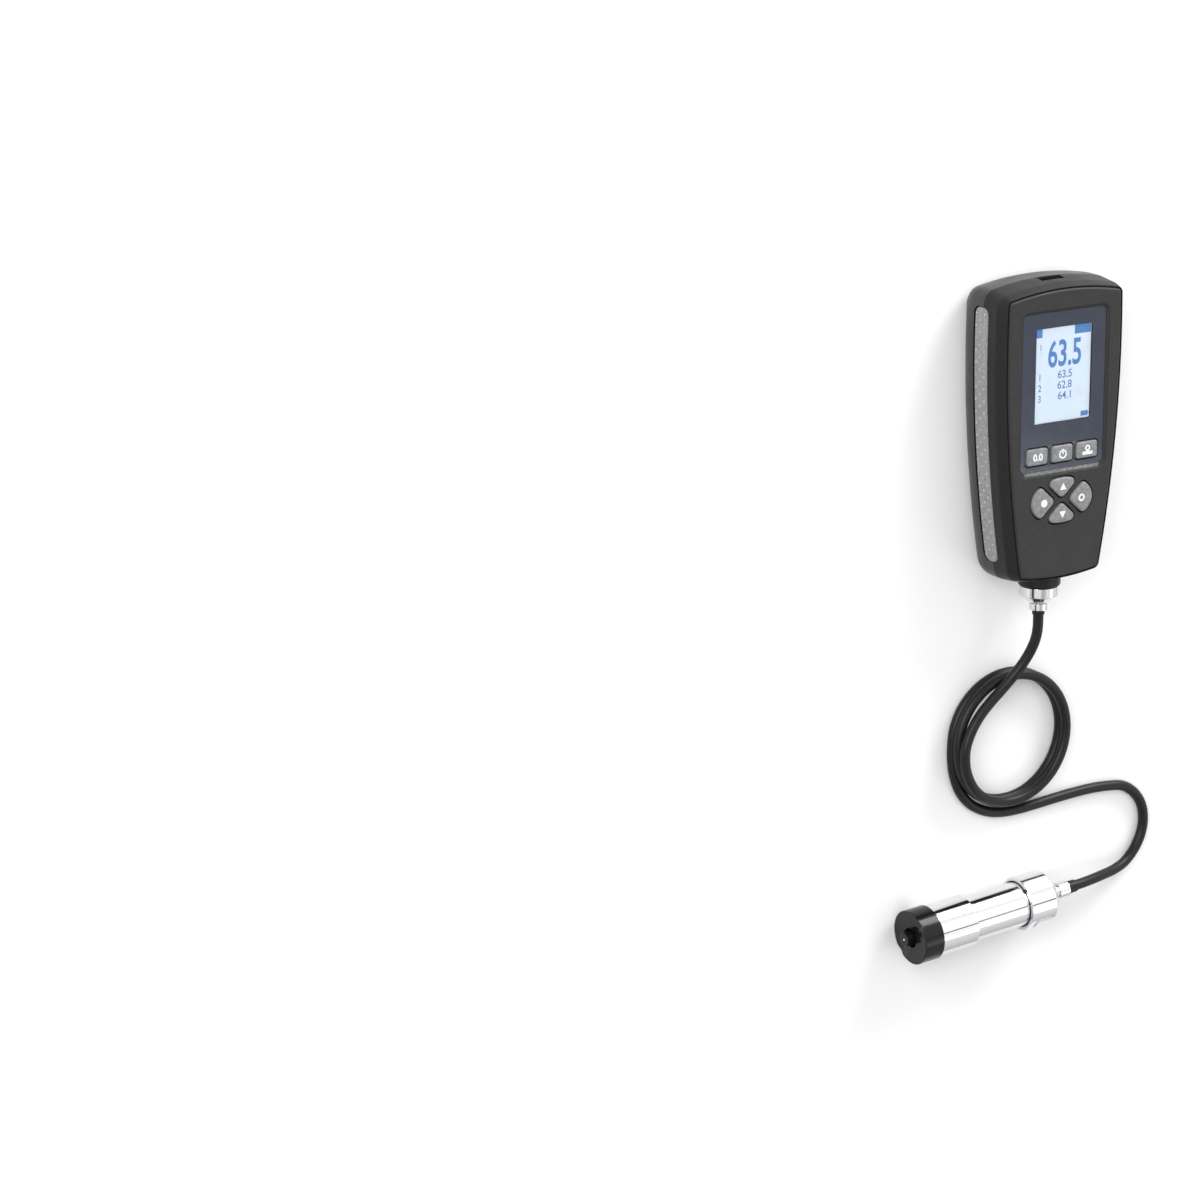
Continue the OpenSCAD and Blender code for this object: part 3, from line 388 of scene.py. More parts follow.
def slab(outer, holes, z0, z1, edge, hole_edge=None, steps=4):
    """A flat plate with rounded upper edges, and holes through it."""
    hole_edge = edge if hole_edge is None else hole_edge
    bm = bmesh.new()

    def wall(loop, r, sign):
        rows = [(z0, 0.0)] + [(z1 - r + r * math.sin(math.radians(90 * i / steps)),
                               r - r * math.cos(math.radians(90 * i / steps))) for i in range(steps + 1)]
        rings = [[bm.verts.new(Vector((x, y, z)) * MM) for x, y in (grown(loop, -sign * d) if d else loop)]
                 for z, d in rows]
        n = len(loop)
        for a, b in zip(rings, rings[1:]):
            for j in range(n):
                bm.faces.new((a[j], a[(j + 1) % n], b[(j + 1) % n], b[j]))
        return rings[0], rings[-1]

    rims = [wall(outer, edge, 1)] + [wall(h, hole_edge, -1) for h in holes]
    for k in (0, 1):
        edges = []
        for pair in rims:
            ring = pair[k]
            edges += [bm.edges.get((ring[j], ring[(j + 1) % len(ring)])) for j in range(len(ring))]
        bmesh.ops.triangle_fill(bm, use_beauty=True, edges=edges)
    mesh = bpy.data.meshes.new("work")
    bm.to_mesh(mesh)
    bm.free()
    return mesh


def middle(loop):
    """A loop's centre of area."""
    area = sx = sy = 0.0
    for i, (x1, y1) in enumerate(loop):
        x0, y0 = loop[i - 1]
        c = x0 * y1 - x1 * y0
        area, sx, sy = area + c, sx + (x0 + x1) * c, sy + (y0 + y1) * c
    return sx / (3 * area), sy / (3 * area)


def crowned(loop, z0, top, edge, crown, steps=5):
    """A key cap: straight sides, a rounded edge and a face that rises to its middle."""
    cx, cy = middle(loop)
    brim = top - crown
    rings = [at(loop, z0)]
    for i in range(steps + 1):
        a = math.radians(90 * i / steps)
        rings.append(at(grown(loop, edge * (math.cos(a) - 1)), brim - edge + edge * math.sin(a)))
    inner = grown(loop, -edge)
    for k in (0.92, 0.8, 0.65, 0.5, 0.35, 0.2):
        rings.append([(cx + (x - cx) * k, cy + (y - cy) * k, brim + crown * (1 - k * k)) for x, y in inner])
    return mesh_of(*skin(rings))


def clipped(poly, nx, ny, d):
    """The part of a convex polygon where nx*x + ny*y <= d."""
    out = []
    for i, (x1, y1) in enumerate(poly):
        x0, y0 = poly[i - 1]
        a, b = nx * x0 + ny * y0 - d, nx * x1 + ny * y1 - d
        if (a <= 0) != (b <= 0):
            t = a / (a - b)
            out.append((x0 + t * (x1 - x0), y0 + t * (y1 - y0)))
        if b <= 0:
            out.append((x1, y1))
    return out


def eased(poly, r, grow=0.0):
    """A convex polygon with its corners rounded to r, then grown."""
    inner = poly
    for i, (x1, y1) in enumerate(poly):
        x0, y0 = poly[i - 1]
        length = math.hypot(x1 - x0, y1 - y0)
        if length > 1e-6:
            nx, ny = (y1 - y0) / length, -(x1 - x0) / length
            inner = clipped(inner, nx, ny, nx * x0 + ny * y0 - r)
    inner = [p for i, p in enumerate(inner) if math.dist(p, inner[i - 1]) > 1e-4]
    out = []
    n = len(inner)
    for i, p in enumerate(inner):
        a0, a1 = heading(inner[i - 1], p) - 90, heading(p, inner[(i + 1) % n]) - 90
        a1 += 360 * math.ceil((a0 - a1 - 1e-6) / 360)
        out += arc(p, r + grow, a0, a1, max(1, round((a1 - a0) / 12)), 1)
    return [p for i, p in enumerate(out) if math.dist(p, out[i - 1]) > 1e-3]


def pad_loop(turn, grow):
    """One quarter of the oval pad: 0 the upper key, 1 the left one, and so on round."""
    slant = math.radians(PAD_SLANT)
    a, apex = (math.pi / 2 - slant, PAD_TIP) if turn % 2 == 0 else (
        slant, (PAD_GAP - PAD_TIP * math.cos(slant)) / math.sin(slant))
    poly = arc((0, 0), 1, 0, 360, 90)
    poly = [(x * PAD_W / 2, y * PAD_H / 2) for x, y in poly]
    t = math.radians(90 * turn)
    for s in (1, -1):
        nx, ny = s * math.cos(a), -math.sin(a)
        d = ny * apex
        poly = clipped(poly, nx * math.cos(t) - ny * math.sin(t), nx * math.sin(t) + ny * math.cos(t), d)
    return [(x, y + PAD_Y) for x, y in eased(poly, PAD_R, grow)]


def key_loop(i, grow):
    """One of the three oblong keys of the row: -1, 0 or 1 from the left."""
    return rounded_rect(ROW_W + 2 * grow, ROW_H + 2 * grow, ROW_R + grow, i * ROW_PITCH, ROW_Y, 10)


def lathe(profile, n=96):
    """A closed turned solid about Z: profile is a closed loop of heights and radii."""
    return skin([[(r * c, r * s, z) for c, s in circle(n)] for z, r in profile], wrap=True)


def tube(z0, z1, r0, r1):
    """A plain tube's profile, or a plain rod's where r0 is 0."""
    return [(z0, r0), (z0, r1), (z1, r1), (z1, r0)]


def rounded_profile(profile, r, steps=3):
    """Rounds each sharp corner of a turned profile, and keeps points on the axis."""
    out = []
    n = len(profile)
    for i in range(n):
        p, a, b = Vector(profile[i]), Vector(profile[i - 1]), Vector(profile[(i + 1) % n])
        if p.y < 1e-6:
            out.append(tuple(p))
            continue
        d = min(r, (a - p).length * 0.4, (b - p).length * 0.4)
        p0, p1 = p + (a - p).normalized() * d, p + (b - p).normalized() * d
        for k in range(steps + 1):
            t = k / steps
            out.append(tuple((1 - t) ** 2 * p0 + 2 * t * (1 - t) * p + t * t * p1))
    return out


def moved(part, matrix):
    verts, faces = part
    return [matrix @ Vector(v) for v in verts], faces


PLUG = Matrix.Translation((0, 0, PART_Z)) @ Matrix.Rotation(math.pi / 2, 4, "X")
PROBE = (Matrix.Translation(CABLE_END) @ Matrix.Rotation(PROBE_TURN, 4, "Z") @ Matrix.Rotation(math.pi / 2, 4, "Y")
         @ Matrix.Translation((0, 0, -PROBE_L)))


def turned(name, node, profile, matrix, mat, edge=0.25, body=ROOT, cutters=()):
    mesh = mesh_of(*moved(lathe(rounded_profile(profile, edge)), matrix))
    if cutters:
        mesh = combine(mesh, cutters)
    return place(name, mesh, mat, body, (node,))


# Camera, floor and light

CAMERA_AT, CAMERA_TURN, LENS = Vector((-1092.85, 441.03, 1464.19)), (30.6, 16.2, -0.37), 120.0


def set_stage():
    yaw, pitch, roll = (math.radians(a) for a in CAMERA_TURN)
    back = Vector((-math.sin(yaw) * math.cos(pitch), math.sin(pitch), math.cos(yaw) * math.cos(pitch)))
    right = Vector((math.cos(yaw), 0, math.sin(yaw)))
    up = back.cross(right)
    right, up = math.cos(roll) * right + math.sin(roll) * up, -math.sin(roll) * right + math.cos(roll) * up
    cam = bpy.data.cameras.new("camera")
    cam.sensor_width, cam.lens = 36.0, LENS
    cam.clip_start, cam.clip_end = 0.05, 50.0
    o = bpy.data.objects.new("camera", cam)
    o.matrix_world = Matrix.Translation(CAMERA_AT * MM) @ Matrix((right, up, back)).transposed().to_4x4()
    bpy.context.scene.collection.objects.link(o)
    bpy.context.scene.camera = o

    floor_mat = finish("floor_white", (0.93, 0.93, 0.93), 0.6)
    tint(floor_mat, noise(floor_mat, 3.0), (0.925, 0.925, 0.925), (0.935, 0.935, 0.935))
    mesh = bpy.data.meshes.new("floor")
    mesh.from_pydata([(-6, -6, 0), (6, -6, 0), (6, 6, 0), (-6, 6, 0)], [], [(0, 1, 2, 3)])
    mesh.materials.append(floor_mat)
    floor = bpy.data.objects.new("floor", mesh)
    bpy.context.scene.collection.objects.link(floor)

    def lamp(name, place_at, aim, w, h, power):
        light = bpy.data.lights.new(name, "AREA")
        light.shape, light.size, light.size_y, light.energy = "RECTANGLE", w, h, power
        lo = bpy.data.objects.new(name, light)
        lo.location = place_at
        lo.rotation_euler = (Vector(aim) - Vector(place_at)).to_track_quat("-Z", "Y").to_euler()
        bpy.context.scene.collection.objects.link(lo)

    lamp("top_box", (0.85, 1.25, 0.50), (0, -0.05, 0), 0.9, 0.8, 26)
    lamp("left_box", (-1.10, 0.45, 0.85), (0, -0.08, 0), 0.9, 0.8, 13)
    lamp("low_box", (0.95, -0.71, 1.20), (0, 0, 0), 0.5, 0.5, 1.6)

    world = bpy.data.worlds.new("studio")
    world.use_nodes = True
    bpy.context.scene.world = world
    t, links = world.node_tree.nodes, world.node_tree.links
    path = t.new("ShaderNodeLightPath")
    seen = t.new("ShaderNodeMath")
    seen.operation = "MAXIMUM"
    links.new(path.outputs["Is Camera Ray"], seen.inputs[0])
    links.new(path.outputs["Is Transmission Ray"], seen.inputs[1])
    # A bright studio surround with a few dark seams for metal to reflect
    where, split = t.new("ShaderNodeTexCoord"), t.new("ShaderNodeSeparateXYZ")
    links.new(where.outputs["Generated"], split.inputs["Vector"])

    def levels(axis, stops):
        """Brightness by the angle from straight up towards one axis, minus to plus 90 degrees."""
        angle, share, ramp = t.new("ShaderNodeMath"), t.new("ShaderNodeMapRange"), t.new("ShaderNodeValToRGB")
        angle.operation = "ARCTAN2"
        links.new(split.outputs[axis], angle.inputs[0])
        links.new(split.outputs["Z"], angle.inputs[1])
        links.new(angle.outputs["Value"], share.inputs["Value"])
        share.inputs["From Min"].default_value, share.inputs["From Max"].default_value = -math.pi / 2, math.pi / 2
        for k, (spot, level) in enumerate(stops):
            e = ramp.color_ramp.elements[k] if k < 2 else ramp.color_ramp.elements.new(spot)
            e.position, e.color = spot, (level, level, level * 1.01, 1)
        links.new(share.outputs["Result"], ramp.inputs["Fac"])
        return ramp.outputs["Color"]

    along = levels("Y", (
        (0.0, 0.60), (0.12, 0.78), (0.25, 0.95), (0.36, 1.0), (0.43, 1.05), (0.47, 1.4), (0.495, 1.45), (0.504, 0.05),
        (0.519, 0.05), (0.528, 1.45), (0.72, 1.45), (0.80, 1.15), (0.85, 0.85), (0.88, 0.45), (0.905, 0.70),
        (0.93, 0.85), (0.95, 0.40), (0.975, 0.50), (1.0, 0.60)))
    across = levels("X", (
        (0.0, 1.0), (0.055, 1.0), (0.07, 0.1), (0.13, 0.1), (0.165, 1.0), (0.35, 1.0), (0.40, 0.55), (0.50, 0.65),
        (0.55, 1.0), (1.0, 1.0)))
    seams = t.new("ShaderNodeMix")
    seams.data_type, seams.blend_type = "RGBA", "MULTIPLY"
    links.new(path.outputs["Is Glossy Ray"], seams.inputs[0])
    links.new(along, colours(seams.inputs)["A"])
    links.new(across, colours(seams.inputs)["B"])
    surround, plain, mix = t["Background"], t.new("ShaderNodeBackground"), t.new("ShaderNodeMixShader")
    links.new(colours(seams.outputs)["Result"], surround.inputs["Color"])
    level = t.new("ShaderNodeMapRange")
    level.inputs["To Min"].default_value, level.inputs["To Max"].default_value = 0.62, 1.0
    links.new(path.outputs["Is Glossy Ray"], level.inputs["Value"])
    links.new(level.outputs["Result"], surround.inputs["Strength"])
    plain.inputs["Color"].default_value, plain.inputs["Strength"].default_value = (1, 1, 1, 1), 1.0
    links.new(seen.outputs["Value"], mix.inputs["Fac"])
    links.new(surround.outputs["Background"], mix.inputs[1])
    links.new(plain.outputs["Background"], mix.inputs[2])
    links.new(mix.outputs["Shader"], t["World Output"].inputs["Surface"])
    bpy.context.scene.view_settings.view_transform = "Standard"


# Plug at the bottom end: distances below the case's centre, and radii

def make_plug():
    """The socket in the case, its nut, and the plug's pieces that lie on the cable."""
    back, face, flange, nose, floor, tip = 57.3, 69.5, 75.0, 78.7, 62.3, 63.3
    nut, nut_end, taper, clamp, end, boot = 75.3, 79.9, 83.7, 84.0, 87.4, 90.0
    back_r, flange_r, thread, insert, socket = 6.4, 10.0, 6.8, 4.9, 5.0
    nut_r, taper_r, step_r, neck, clamp_r, boot_r = 9.4, 4.9, 6.5, 3.3, 4.4, 2.95
    shoulder, shoulder_end = nose + 0.3, nut_end - 0.3
    turned("socket_flange", "socket_body", [
        (back, 0.0), (back, back_r), (face, back_r), (face, flange_r), (flange, flange_r), (flange, thread),
        (nose, thread), (nose, socket), (floor, socket), (floor, 0.0)], PLUG, FLANGE, 0.7)
    turned("coupling_ring", "coupling_nut", [
        (nut, thread + FIT), (nut, nut_r), (nut_end, nut_r), (taper, taper_r), (taper, neck + FIT),
        (nut_end, neck + FIT), (nut_end, thread + FIT)], PLUG, CHROME, 0.45, "coupling")
    plug = turned("plug_barrel", "plug_body", [
        (tip, 0.0), (tip, insert), (shoulder, insert), (shoulder, step_r), (shoulder_end, step_r),
        (shoulder_end, neck), (end, neck), (end, 0.0)], PLUG, CHROME, 0.1)
    ring = turned("clamp_sleeve", "clamp_ring", tube(clamp, end, neck + FIT, clamp_r), PLUG, CHROME, 0.5)
    relief = turned("plug_relief", "plug_boot", tube(end, boot, 0.0, boot_r), PLUG, JACKET, 0.4)
    return [plug, ring, relief]


# Cable

def cable_line():
    """The cable's line from the plug, round the coil and on to the probe, in millimetres."""
    cx, cy, r = COIL
    line = [Vector(p) for p in RUN_GAUGE]
    steps, turns = 26, 2
    for i in range(1, steps * turns + 1):
        f = i / steps
        a = math.pi + 2 * math.pi * f
        # Each turn goes down one thickness in its first quarter
        drop = min((f % 1.0) / 0.25, 1.0)
        drop = drop * drop * (3 - 2 * drop)
        z = CABLE_D * 2.5 - CABLE_D * (int(f) + drop)
        line.append(Vector((cx + r * math.cos(a), cy + r * math.sin(a), max(z, CABLE_D / 2))))
    # The run to the probe leaves the bottom turn on its outside
    return line + [Vector(p) for p in RUN_OFF + RUN_PROBE]


def spline_points(line, per=5):
    """A smooth line through points, by Catmull-Rom steps."""
    out = []
    for i in range(len(line) - 1):
        p0, p1, p2, p3 = line[max(i - 1, 0)], line[i], line[i + 1], line[min(i + 2, len(line) - 1)]
        for k in range(per):
            t = k / per
            out.append(0.5 * ((2 * p1) + (p2 - p0) * t + (2 * p0 - 5 * p1 + 4 * p2 - p3) * t * t
                              + (3 * p1 - p0 - 3 * p2 + p3) * t ** 3))
    return out + [line[-1]]


def make_cable(plug):
    pts = spline_points(cable_line())
    rings = []
    for i, p in enumerate(pts):
        t = (pts[min(i + 1, len(pts) - 1)] - pts[max(i - 1, 0)]).normalized()
        a = t.cross(Vector((0, 0, 1))).normalized()
        b = t.cross(a)
        rings.append([p + CABLE_D / 2 * (c * a + s * b) for c, s in circle(20, 0.5)])
    o = place("probe_cable", mesh_of(*skin(rings)), JACKET, ROOT,
              ("cable_run_gauge", "cable_coil", "cable_run_probe"))


set_stage()
make_cable(make_plug())


# Case

def profile_at(z):
    """Inset of the sides and ends at a height on the upper case, with the strip's lower edge eased."""
    ease = 0.9
    if z <= STRIP_Z - ease:
        side = 0.0
    elif z < STRIP_Z + ease:
        side = STRIP_W / STRIP_H * (z - STRIP_Z + ease) ** 2 / (4 * ease)
    else:
        side = STRIP_W / STRIP_H * (z - STRIP_Z)
    if z < STRIP_Z:
        end = LEAN_MID * (z - PART_Z) / (STRIP_Z - PART_Z)
    else:
        end = LEAN_MID + (END_LEAN - LEAN_MID) * (z - STRIP_Z) / STRIP_H
    return side, end


def case_ring(z, more=0.0):
    if z < PART_Z:
        t = math.acos(max(-1.0, min(1.0, 1 - z / BACK_H))) if z < BACK_H else math.pi / 2
        side = end = BACK_W * (1 - math.sin(t))
        corner = CORNER_R
    else:
        side, end = profile_at(z)
        corner = corner_at(side)
    return at(outline(side + more, end + more, max(corner - more, 0.8)), z)


def back_rings(w, top):
    """Rings of the lower case drawn in by w, from the back up to a height."""
    rings = []
    for i in range(11):
        t = math.radians(9 * i)
        inset = BACK_W * (1 - math.sin(t)) + w * math.sin(t)
        rings.append(at(outline(inset, inset, max(CORNER_R - w, 1)), BACK_H * (1 - math.cos(t)) + w * math.cos(t)))
    rings.append(at(outline(w, w, max(CORNER_R - w, 1)), top))
    return rings


def grip_sections(inset, proud, grow, edge):
    """Rectangles across the grip's length on the right side, from low y to high y."""
    half_l, half_w, r = GRIP_L / 2 + grow, GRIP_W / 2 + grow, GRIP_R + grow
    ys = [-half_l + r * (1 - math.cos(math.radians(90 * i / 8))) for i in range(9)]
    ys = ys + [(-half_l + r) + (2 * half_l - 2 * r) * i / 30 for i in range(1, 30)] + [-y for y in reversed(ys)]
    out = []
    for y in ys:
        into = max(0.0, abs(y) - (half_l - r))
        h = half_w - r + math.sqrt(max(r * r - into * into, 0.0025))
        x0, x1 = half_width(y) - inset, half_width(y) + proud
        e = min(edge, h * 0.5)
        ring = [(x0, y, GRIP_Z - h), (x1 - e, y, GRIP_Z - h)]
        ring += [(x1 - e + e * math.sin(math.radians(a)), y, GRIP_Z - h + e - e * math.cos(math.radians(a)))
                 for a in (30, 60, 90)]
        ring += [(x1 - e + e * math.cos(math.radians(a)), y, GRIP_Z + h - e + e * math.sin(math.radians(a)))
                 for a in (0, 30, 60)]
        ring += [(x1 - e, y, GRIP_Z + h), (x0, y, GRIP_Z + h)]
        out.append(ring)
    return out


def mirrored(part):
    verts, faces = part
    return [(-v[0], v[1], v[2]) for v in verts], [tuple(reversed(f)) for f in faces]


def box(x0, x1, y0, y1, z0, z1):
    return skin([[(x0, y0, z), (x1, y0, z), (x1, y1, z), (x0, y1, z)] for z in (z0, z1)])


def drum(x, y, z0, z1, r, n=40):
    return skin([[(x + r * c, y + r * s, z) for c, s in circle(n)] for z in (z0, z1)])


def grip_cutters():
    """The channels for the grips, deeper on the rear side to hold a black strip of painted shade."""
    part = skin([[(x, y, z if z > GRIP_Z else z - 0.9) for x, y, z in ring]
                 for ring in grip_sections(inset=1.7, proud=2.0, grow=0.3, edge=0.02)])
    return [mesh_of(*part), mesh_of(*mirrored(part))]


SCREWS = [(s * (half_width(y) - inset), y) for y, inset in ((57.0, 11.4), (-50.0, 7.1)) for s in (1, -1)]


def make_front():
    rings = [case_ring(PART_Z + d, more) for d, more in SEAM]
    rings += [case_ring(z) for z in (22, 24, 26, 28, 29.1, 29.4, 29.7, 30, 30.3, 30.6, 30.9, 32, 33.4)]
    side, end = profile_at(RIM_Z - RIM_EDGE)
    for a in (0, 30, 60, 90):
        more = RIM_EDGE - RIM_EDGE * math.cos(math.radians(a))
        z = RIM_Z - RIM_EDGE + RIM_EDGE * math.sin(math.radians(a))
        rings.append(at(outline(side + more, end + more, corner_at(side + more)), z))
    lip, lip_end = STRIP_W + LIP, END_LEAN + LIP
    for side, end, z in ((lip, lip_end, RIM_Z), (lip + 0.05, lip_end + 0.05, RIM_Z - GROOVE_D),
                         (PLATE_IN + 0.4, PLATE_END + 0.4, RIM_Z - GROOVE_D),
                         (PLATE_IN + 0.4, PLATE_END + 0.4, INNER_Z)):
        rings.append(at(outline(side, end, corner_at(side)), z))
    rings.append(at(outline(STRIP_W + WALL, END_LEAN + WALL, 1.3), INNER_Z))
    rings.append(at(outline(WALL, WALL, CORNER_R - WALL), PART_Z + SEAM[0][0]))
    port = [mesh_of(*box(-PORT_HALF, PORT_HALF, HALF_L - 10, HALF_L + 3, PORT_Z0, PORT_Z1))]
    sides = combine(mesh_of(*skin(rings, wrap=True)), port + grip_cutters())
    place("front_shell_sides", sides, SHELL, ROOT, ("front_shell",))

    # The opening reaches lower than the window, where the slope is wide
    rim_y = WINDOW_Y - SILL_MORE / 2
    rim_w, rim_h, rim_r = WINDOW_W + 2 * SLOPE, WINDOW_H + 2 * SLOPE + SILL_MORE, WINDOW_R + SLOPE
    rim = rounded_rect(rim_w, rim_h, rim_r, 0, rim_y, 10)
    plate = slab(outline(PLATE_IN, PLATE_END, corner_at(PLATE_IN)), [rim] + [pad_loop(t, KEY_GAP) for t in range(4)],
                 INNER_Z + 0.05, PLATE_Z, PLATE_EDGE, HOLE_EDGE, 6)
    place("front_plate", plate, PLATE, ROOT)

    def ring(w, h, r, z, cy=WINDOW_Y):
        return at(rounded_rect(w, h, r, 0, cy, 10), z)
    w, h = WINDOW_W, WINDOW_H
    ledge = [ring(rim_w + 0.3, rim_h + 0.3, rim_r, PLATE_Z - 0.32, rim_y),
             ring(rim_w - 0.3, rim_h - 0.3, rim_r - 0.15, PLATE_Z - 0.28, rim_y),
             ring(w + 0.3, h + 0.3, WINDOW_R + 0.15, WINDOW_Z + 0.06),
             ring(w + 0.2, h + 0.2, WINDOW_R + 0.1, WINDOW_Z - 0.1),
             ring(w + 0.2, h + 0.2, WINDOW_R + 0.1, RECESS_Z),
             ring(GLASS_W + 0.2, GLASS_H + 0.2, 1.1, RECESS_Z, VIEW_Y),
             ring(GLASS_W + 0.2, GLASS_H + 0.2, 1.1, INNER_Z, VIEW_Y),
             ring(rim_w + 0.3, rim_h + 0.3, rim_r, INNER_Z, rim_y)]
    keyways = [mesh_of(*skin([at(key_loop(i, KEY_GAP), z) for z in (INNER_Z - 1, PLATE_Z)])) for i in (-1, 0, 1)]
    place("window_ledge", combine(mesh_of(*skin(ledge, wrap=True)), keyways), PLATE, ROOT)
    # The lower slope, in a much lighter charcoal: a painted highlight where it faces the light
    y0, y1 = WINDOW_Y - h / 2 - SLOPE - SILL_MORE + 0.05, WINDOW_Y - h / 2 - 0.1
    z0, z1 = PLATE_Z - 0.26, WINDOW_Z + 0.09
    sill = skin([[(x, y0, z0 - 0.2), (x, y0, z0), (x, y1, z1), (x, y1, z1 - 0.2)]
                 for x in (-w / 2 - 0.4, w / 2 + 0.4)])
    place("window_sill_painted_highlight", mesh_of(*sill), SILL_PAINTED_HIGHLIGHT, ROOT)


def make_rear():
    rings = back_rings(0.0, PART_Z - SEAM[2][0])
    rings += [case_ring(PART_Z - d, more) for d, more in (SEAM[1], SEAM[0])]
    body = mesh_of(*skin(rings))
    pocket = combine(mesh_of(*box(-DOOR_HALF - DOOR_GAP, DOOR_HALF + DOOR_GAP, -HALF_L - 2, DOOR_END + DOOR_GAP, -2,
                                  DOOR_LIP + DOOR_GAP)), [mesh_of(*skin(back_rings(POCKET_T, BACK_TOP)))])
    bay = mesh_of(*box(-BAY_HALF, BAY_HALF, BAY_Y0, BAY_Y1, -2, BAY_TOP))
    wells = [mesh_of(*drum(x, y, -2, WELL_TOP, WELL_R)) for x, y in SCREWS]
    body = combine(body, [pocket, bay] + wells + grip_cutters())
    place("rear_shell_skin", body, REAR, ROOT, ("rear_shell",))

    door = combine(mesh_of(*skin(back_rings(0.0, BACK_TOP))),
                   [mesh_of(*box(-DOOR_HALF, DOOR_HALF, -HALF_L - 2, DOOR_END, -2, DOOR_LIP))], "INTERSECT")
    half, first, pitch, width, depth = 8, 8, 2.4, 1, 0.5
    grooves = [mesh_of(*box(-half, half, y, y + width, -2, depth))
               for y in (DOOR_END - first - pitch * i for i in range(5))]
    door = combine(door, [mesh_of(*skin(back_rings(DOOR_T, BACK_TOP)))] + grooves)
    place("battery_cover", softened(door, 0.2, 2, 50), REAR, "door", ("battery_door",))


make_front()
make_rear()


# Grips: the strips, and their raised dots by Geometry Nodes

def make_grips():
    part = skin(grip_sections(inset=1.5, proud=GRIP_OUT - 0.02, grow=0.0, edge=0.7))
    # A black strip of painted shade, which shows as a dark line along the grip's rear edge
    shade_bed = []
    for ring in grip_sections(inset=1.5, proud=-0.25, grow=0.0, edge=0.02):
        x0, x1, y, z = ring[0][0], max(v[0] for v in ring), ring[0][1], min(v[2] for v in ring)
        shade_bed.append([(x0, y, z - 1.1), (x1, y, z - 1.1), (x1, y, z + 0.1), (x0, y, z + 0.1)])
    shade_bed = skin(shade_bed)
    for name, p, q in (("grip_right", part, shade_bed), ("grip_left", mirrored(part), mirrored(shade_bed))):
        place(name + "_strip", mesh_of(*p), GRIP, ROOT, (name,), sharp=50)
        place(name + "_bed", mesh_of(*q), GAP_SHADE, ROOT)


def dot_tree():
    """Staggered rows of low domes on a side of the case that curves along its length."""
    tree = bpy.data.node_groups.new("grip_dots", "GeometryNodeTree")
    face = tree.interface
    kinds = dict.fromkeys(("Length", "Width", "Dot radius", "Side radius", "Widest at", "Half width", "Middle height"),
                          "NodeSocketFloat")
    kinds.update({"Along": "NodeSocketInt", "Across": "NodeSocketInt", "Material": "NodeSocketMaterial"})
    names = {name: face.new_socket(name, in_out="INPUT", socket_type=kind).identifier for name, kind in kinds.items()}
    face.new_socket("Geometry", in_out="OUTPUT", socket_type="NodeSocketGeometry")
    n, link = tree.nodes, tree.links.new
    size, gout = n.new("NodeGroupInput").outputs, n.new("NodeGroupOutput")

    def math_node(op, a, b=None):
        m = n.new("ShaderNodeMath")
        m.operation = op
        for i, v in enumerate((a, b)):
            if isinstance(v, (int, float)):
                m.inputs[i].default_value = v
            elif v is not None:
                link(v, m.inputs[i])
        return m.outputs[0]

    grid = n.new("GeometryNodeMeshGrid")
    for name, socket in (("Length", "Size X"), ("Width", "Size Y"), ("Along", "Vertices X"), ("Across", "Vertices Y")):
        link(size[name], grid.inputs[socket])
    spot, index = n.new("GeometryNodeInputPosition"), n.new("GeometryNodeInputIndex")
    split = n.new("ShaderNodeSeparateXYZ")
    link(spot.outputs["Position"], split.inputs["Vector"])
    # Every second dot of the grid is left out, so that the rows are staggered
    column = math_node("FLOOR", math_node("DIVIDE", index.outputs["Index"], size["Across"]))
    row = math_node("SUBTRACT", index.outputs["Index"], math_node("MULTIPLY", column, size["Across"]))
    odd = math_node("MODULO", math_node("ADD", column, row), 2)
    y = split.outputs["X"]
    off = math_node("SUBTRACT", y, size["Widest at"])
    bend = size["Side radius"]
    reach = math_node("SQRT", math_node("SUBTRACT", math_node("MULTIPLY", bend, bend), math_node("MULTIPLY", off, off)))
    x = math_node("ADD", math_node("SUBTRACT", size["Half width"], bend), reach)
    put, merge = n.new("GeometryNodeSetPosition"), n.new("ShaderNodeCombineXYZ")
    link(x, merge.inputs["X"])
    link(y, merge.inputs["Y"])
    link(math_node("ADD", split.outputs["Y"], size["Middle height"]), merge.inputs["Z"])
    link(grid.outputs["Mesh"], put.inputs["Geometry"])
    link(merge.outputs["Vector"], put.inputs["Position"])
    keep = n.new("GeometryNodeInstanceOnPoints")
    dot, flat = n.new("GeometryNodeMeshUVSphere"), n.new("GeometryNodeTransform")
    dot.inputs["Segments"].default_value, dot.inputs["Rings"].default_value = 12, 8
    link(size["Dot radius"], dot.inputs["Radius"])
    flat.inputs["Scale"].default_value = (0.95, 1.0, 1.0)
    link(dot.outputs["Mesh"], flat.inputs["Geometry"])
    link(put.outputs["Geometry"], keep.inputs["Points"])
    link(math_node("LESS_THAN", odd, 0.5), keep.inputs["Selection"])
    link(flat.outputs["Geometry"], keep.inputs["Instance"])
    real, paint = n.new("GeometryNodeRealizeInstances"), n.new("GeometryNodeSetMaterial")
    smooth = n.new("GeometryNodeSetShadeSmooth")
    for a, b in ((keep, real), (real, smooth), (smooth, paint), (paint, gout)):
        link(a.outputs[0], b.inputs[0])
    link(size["Material"], paint.inputs["Material"])
    return tree, names


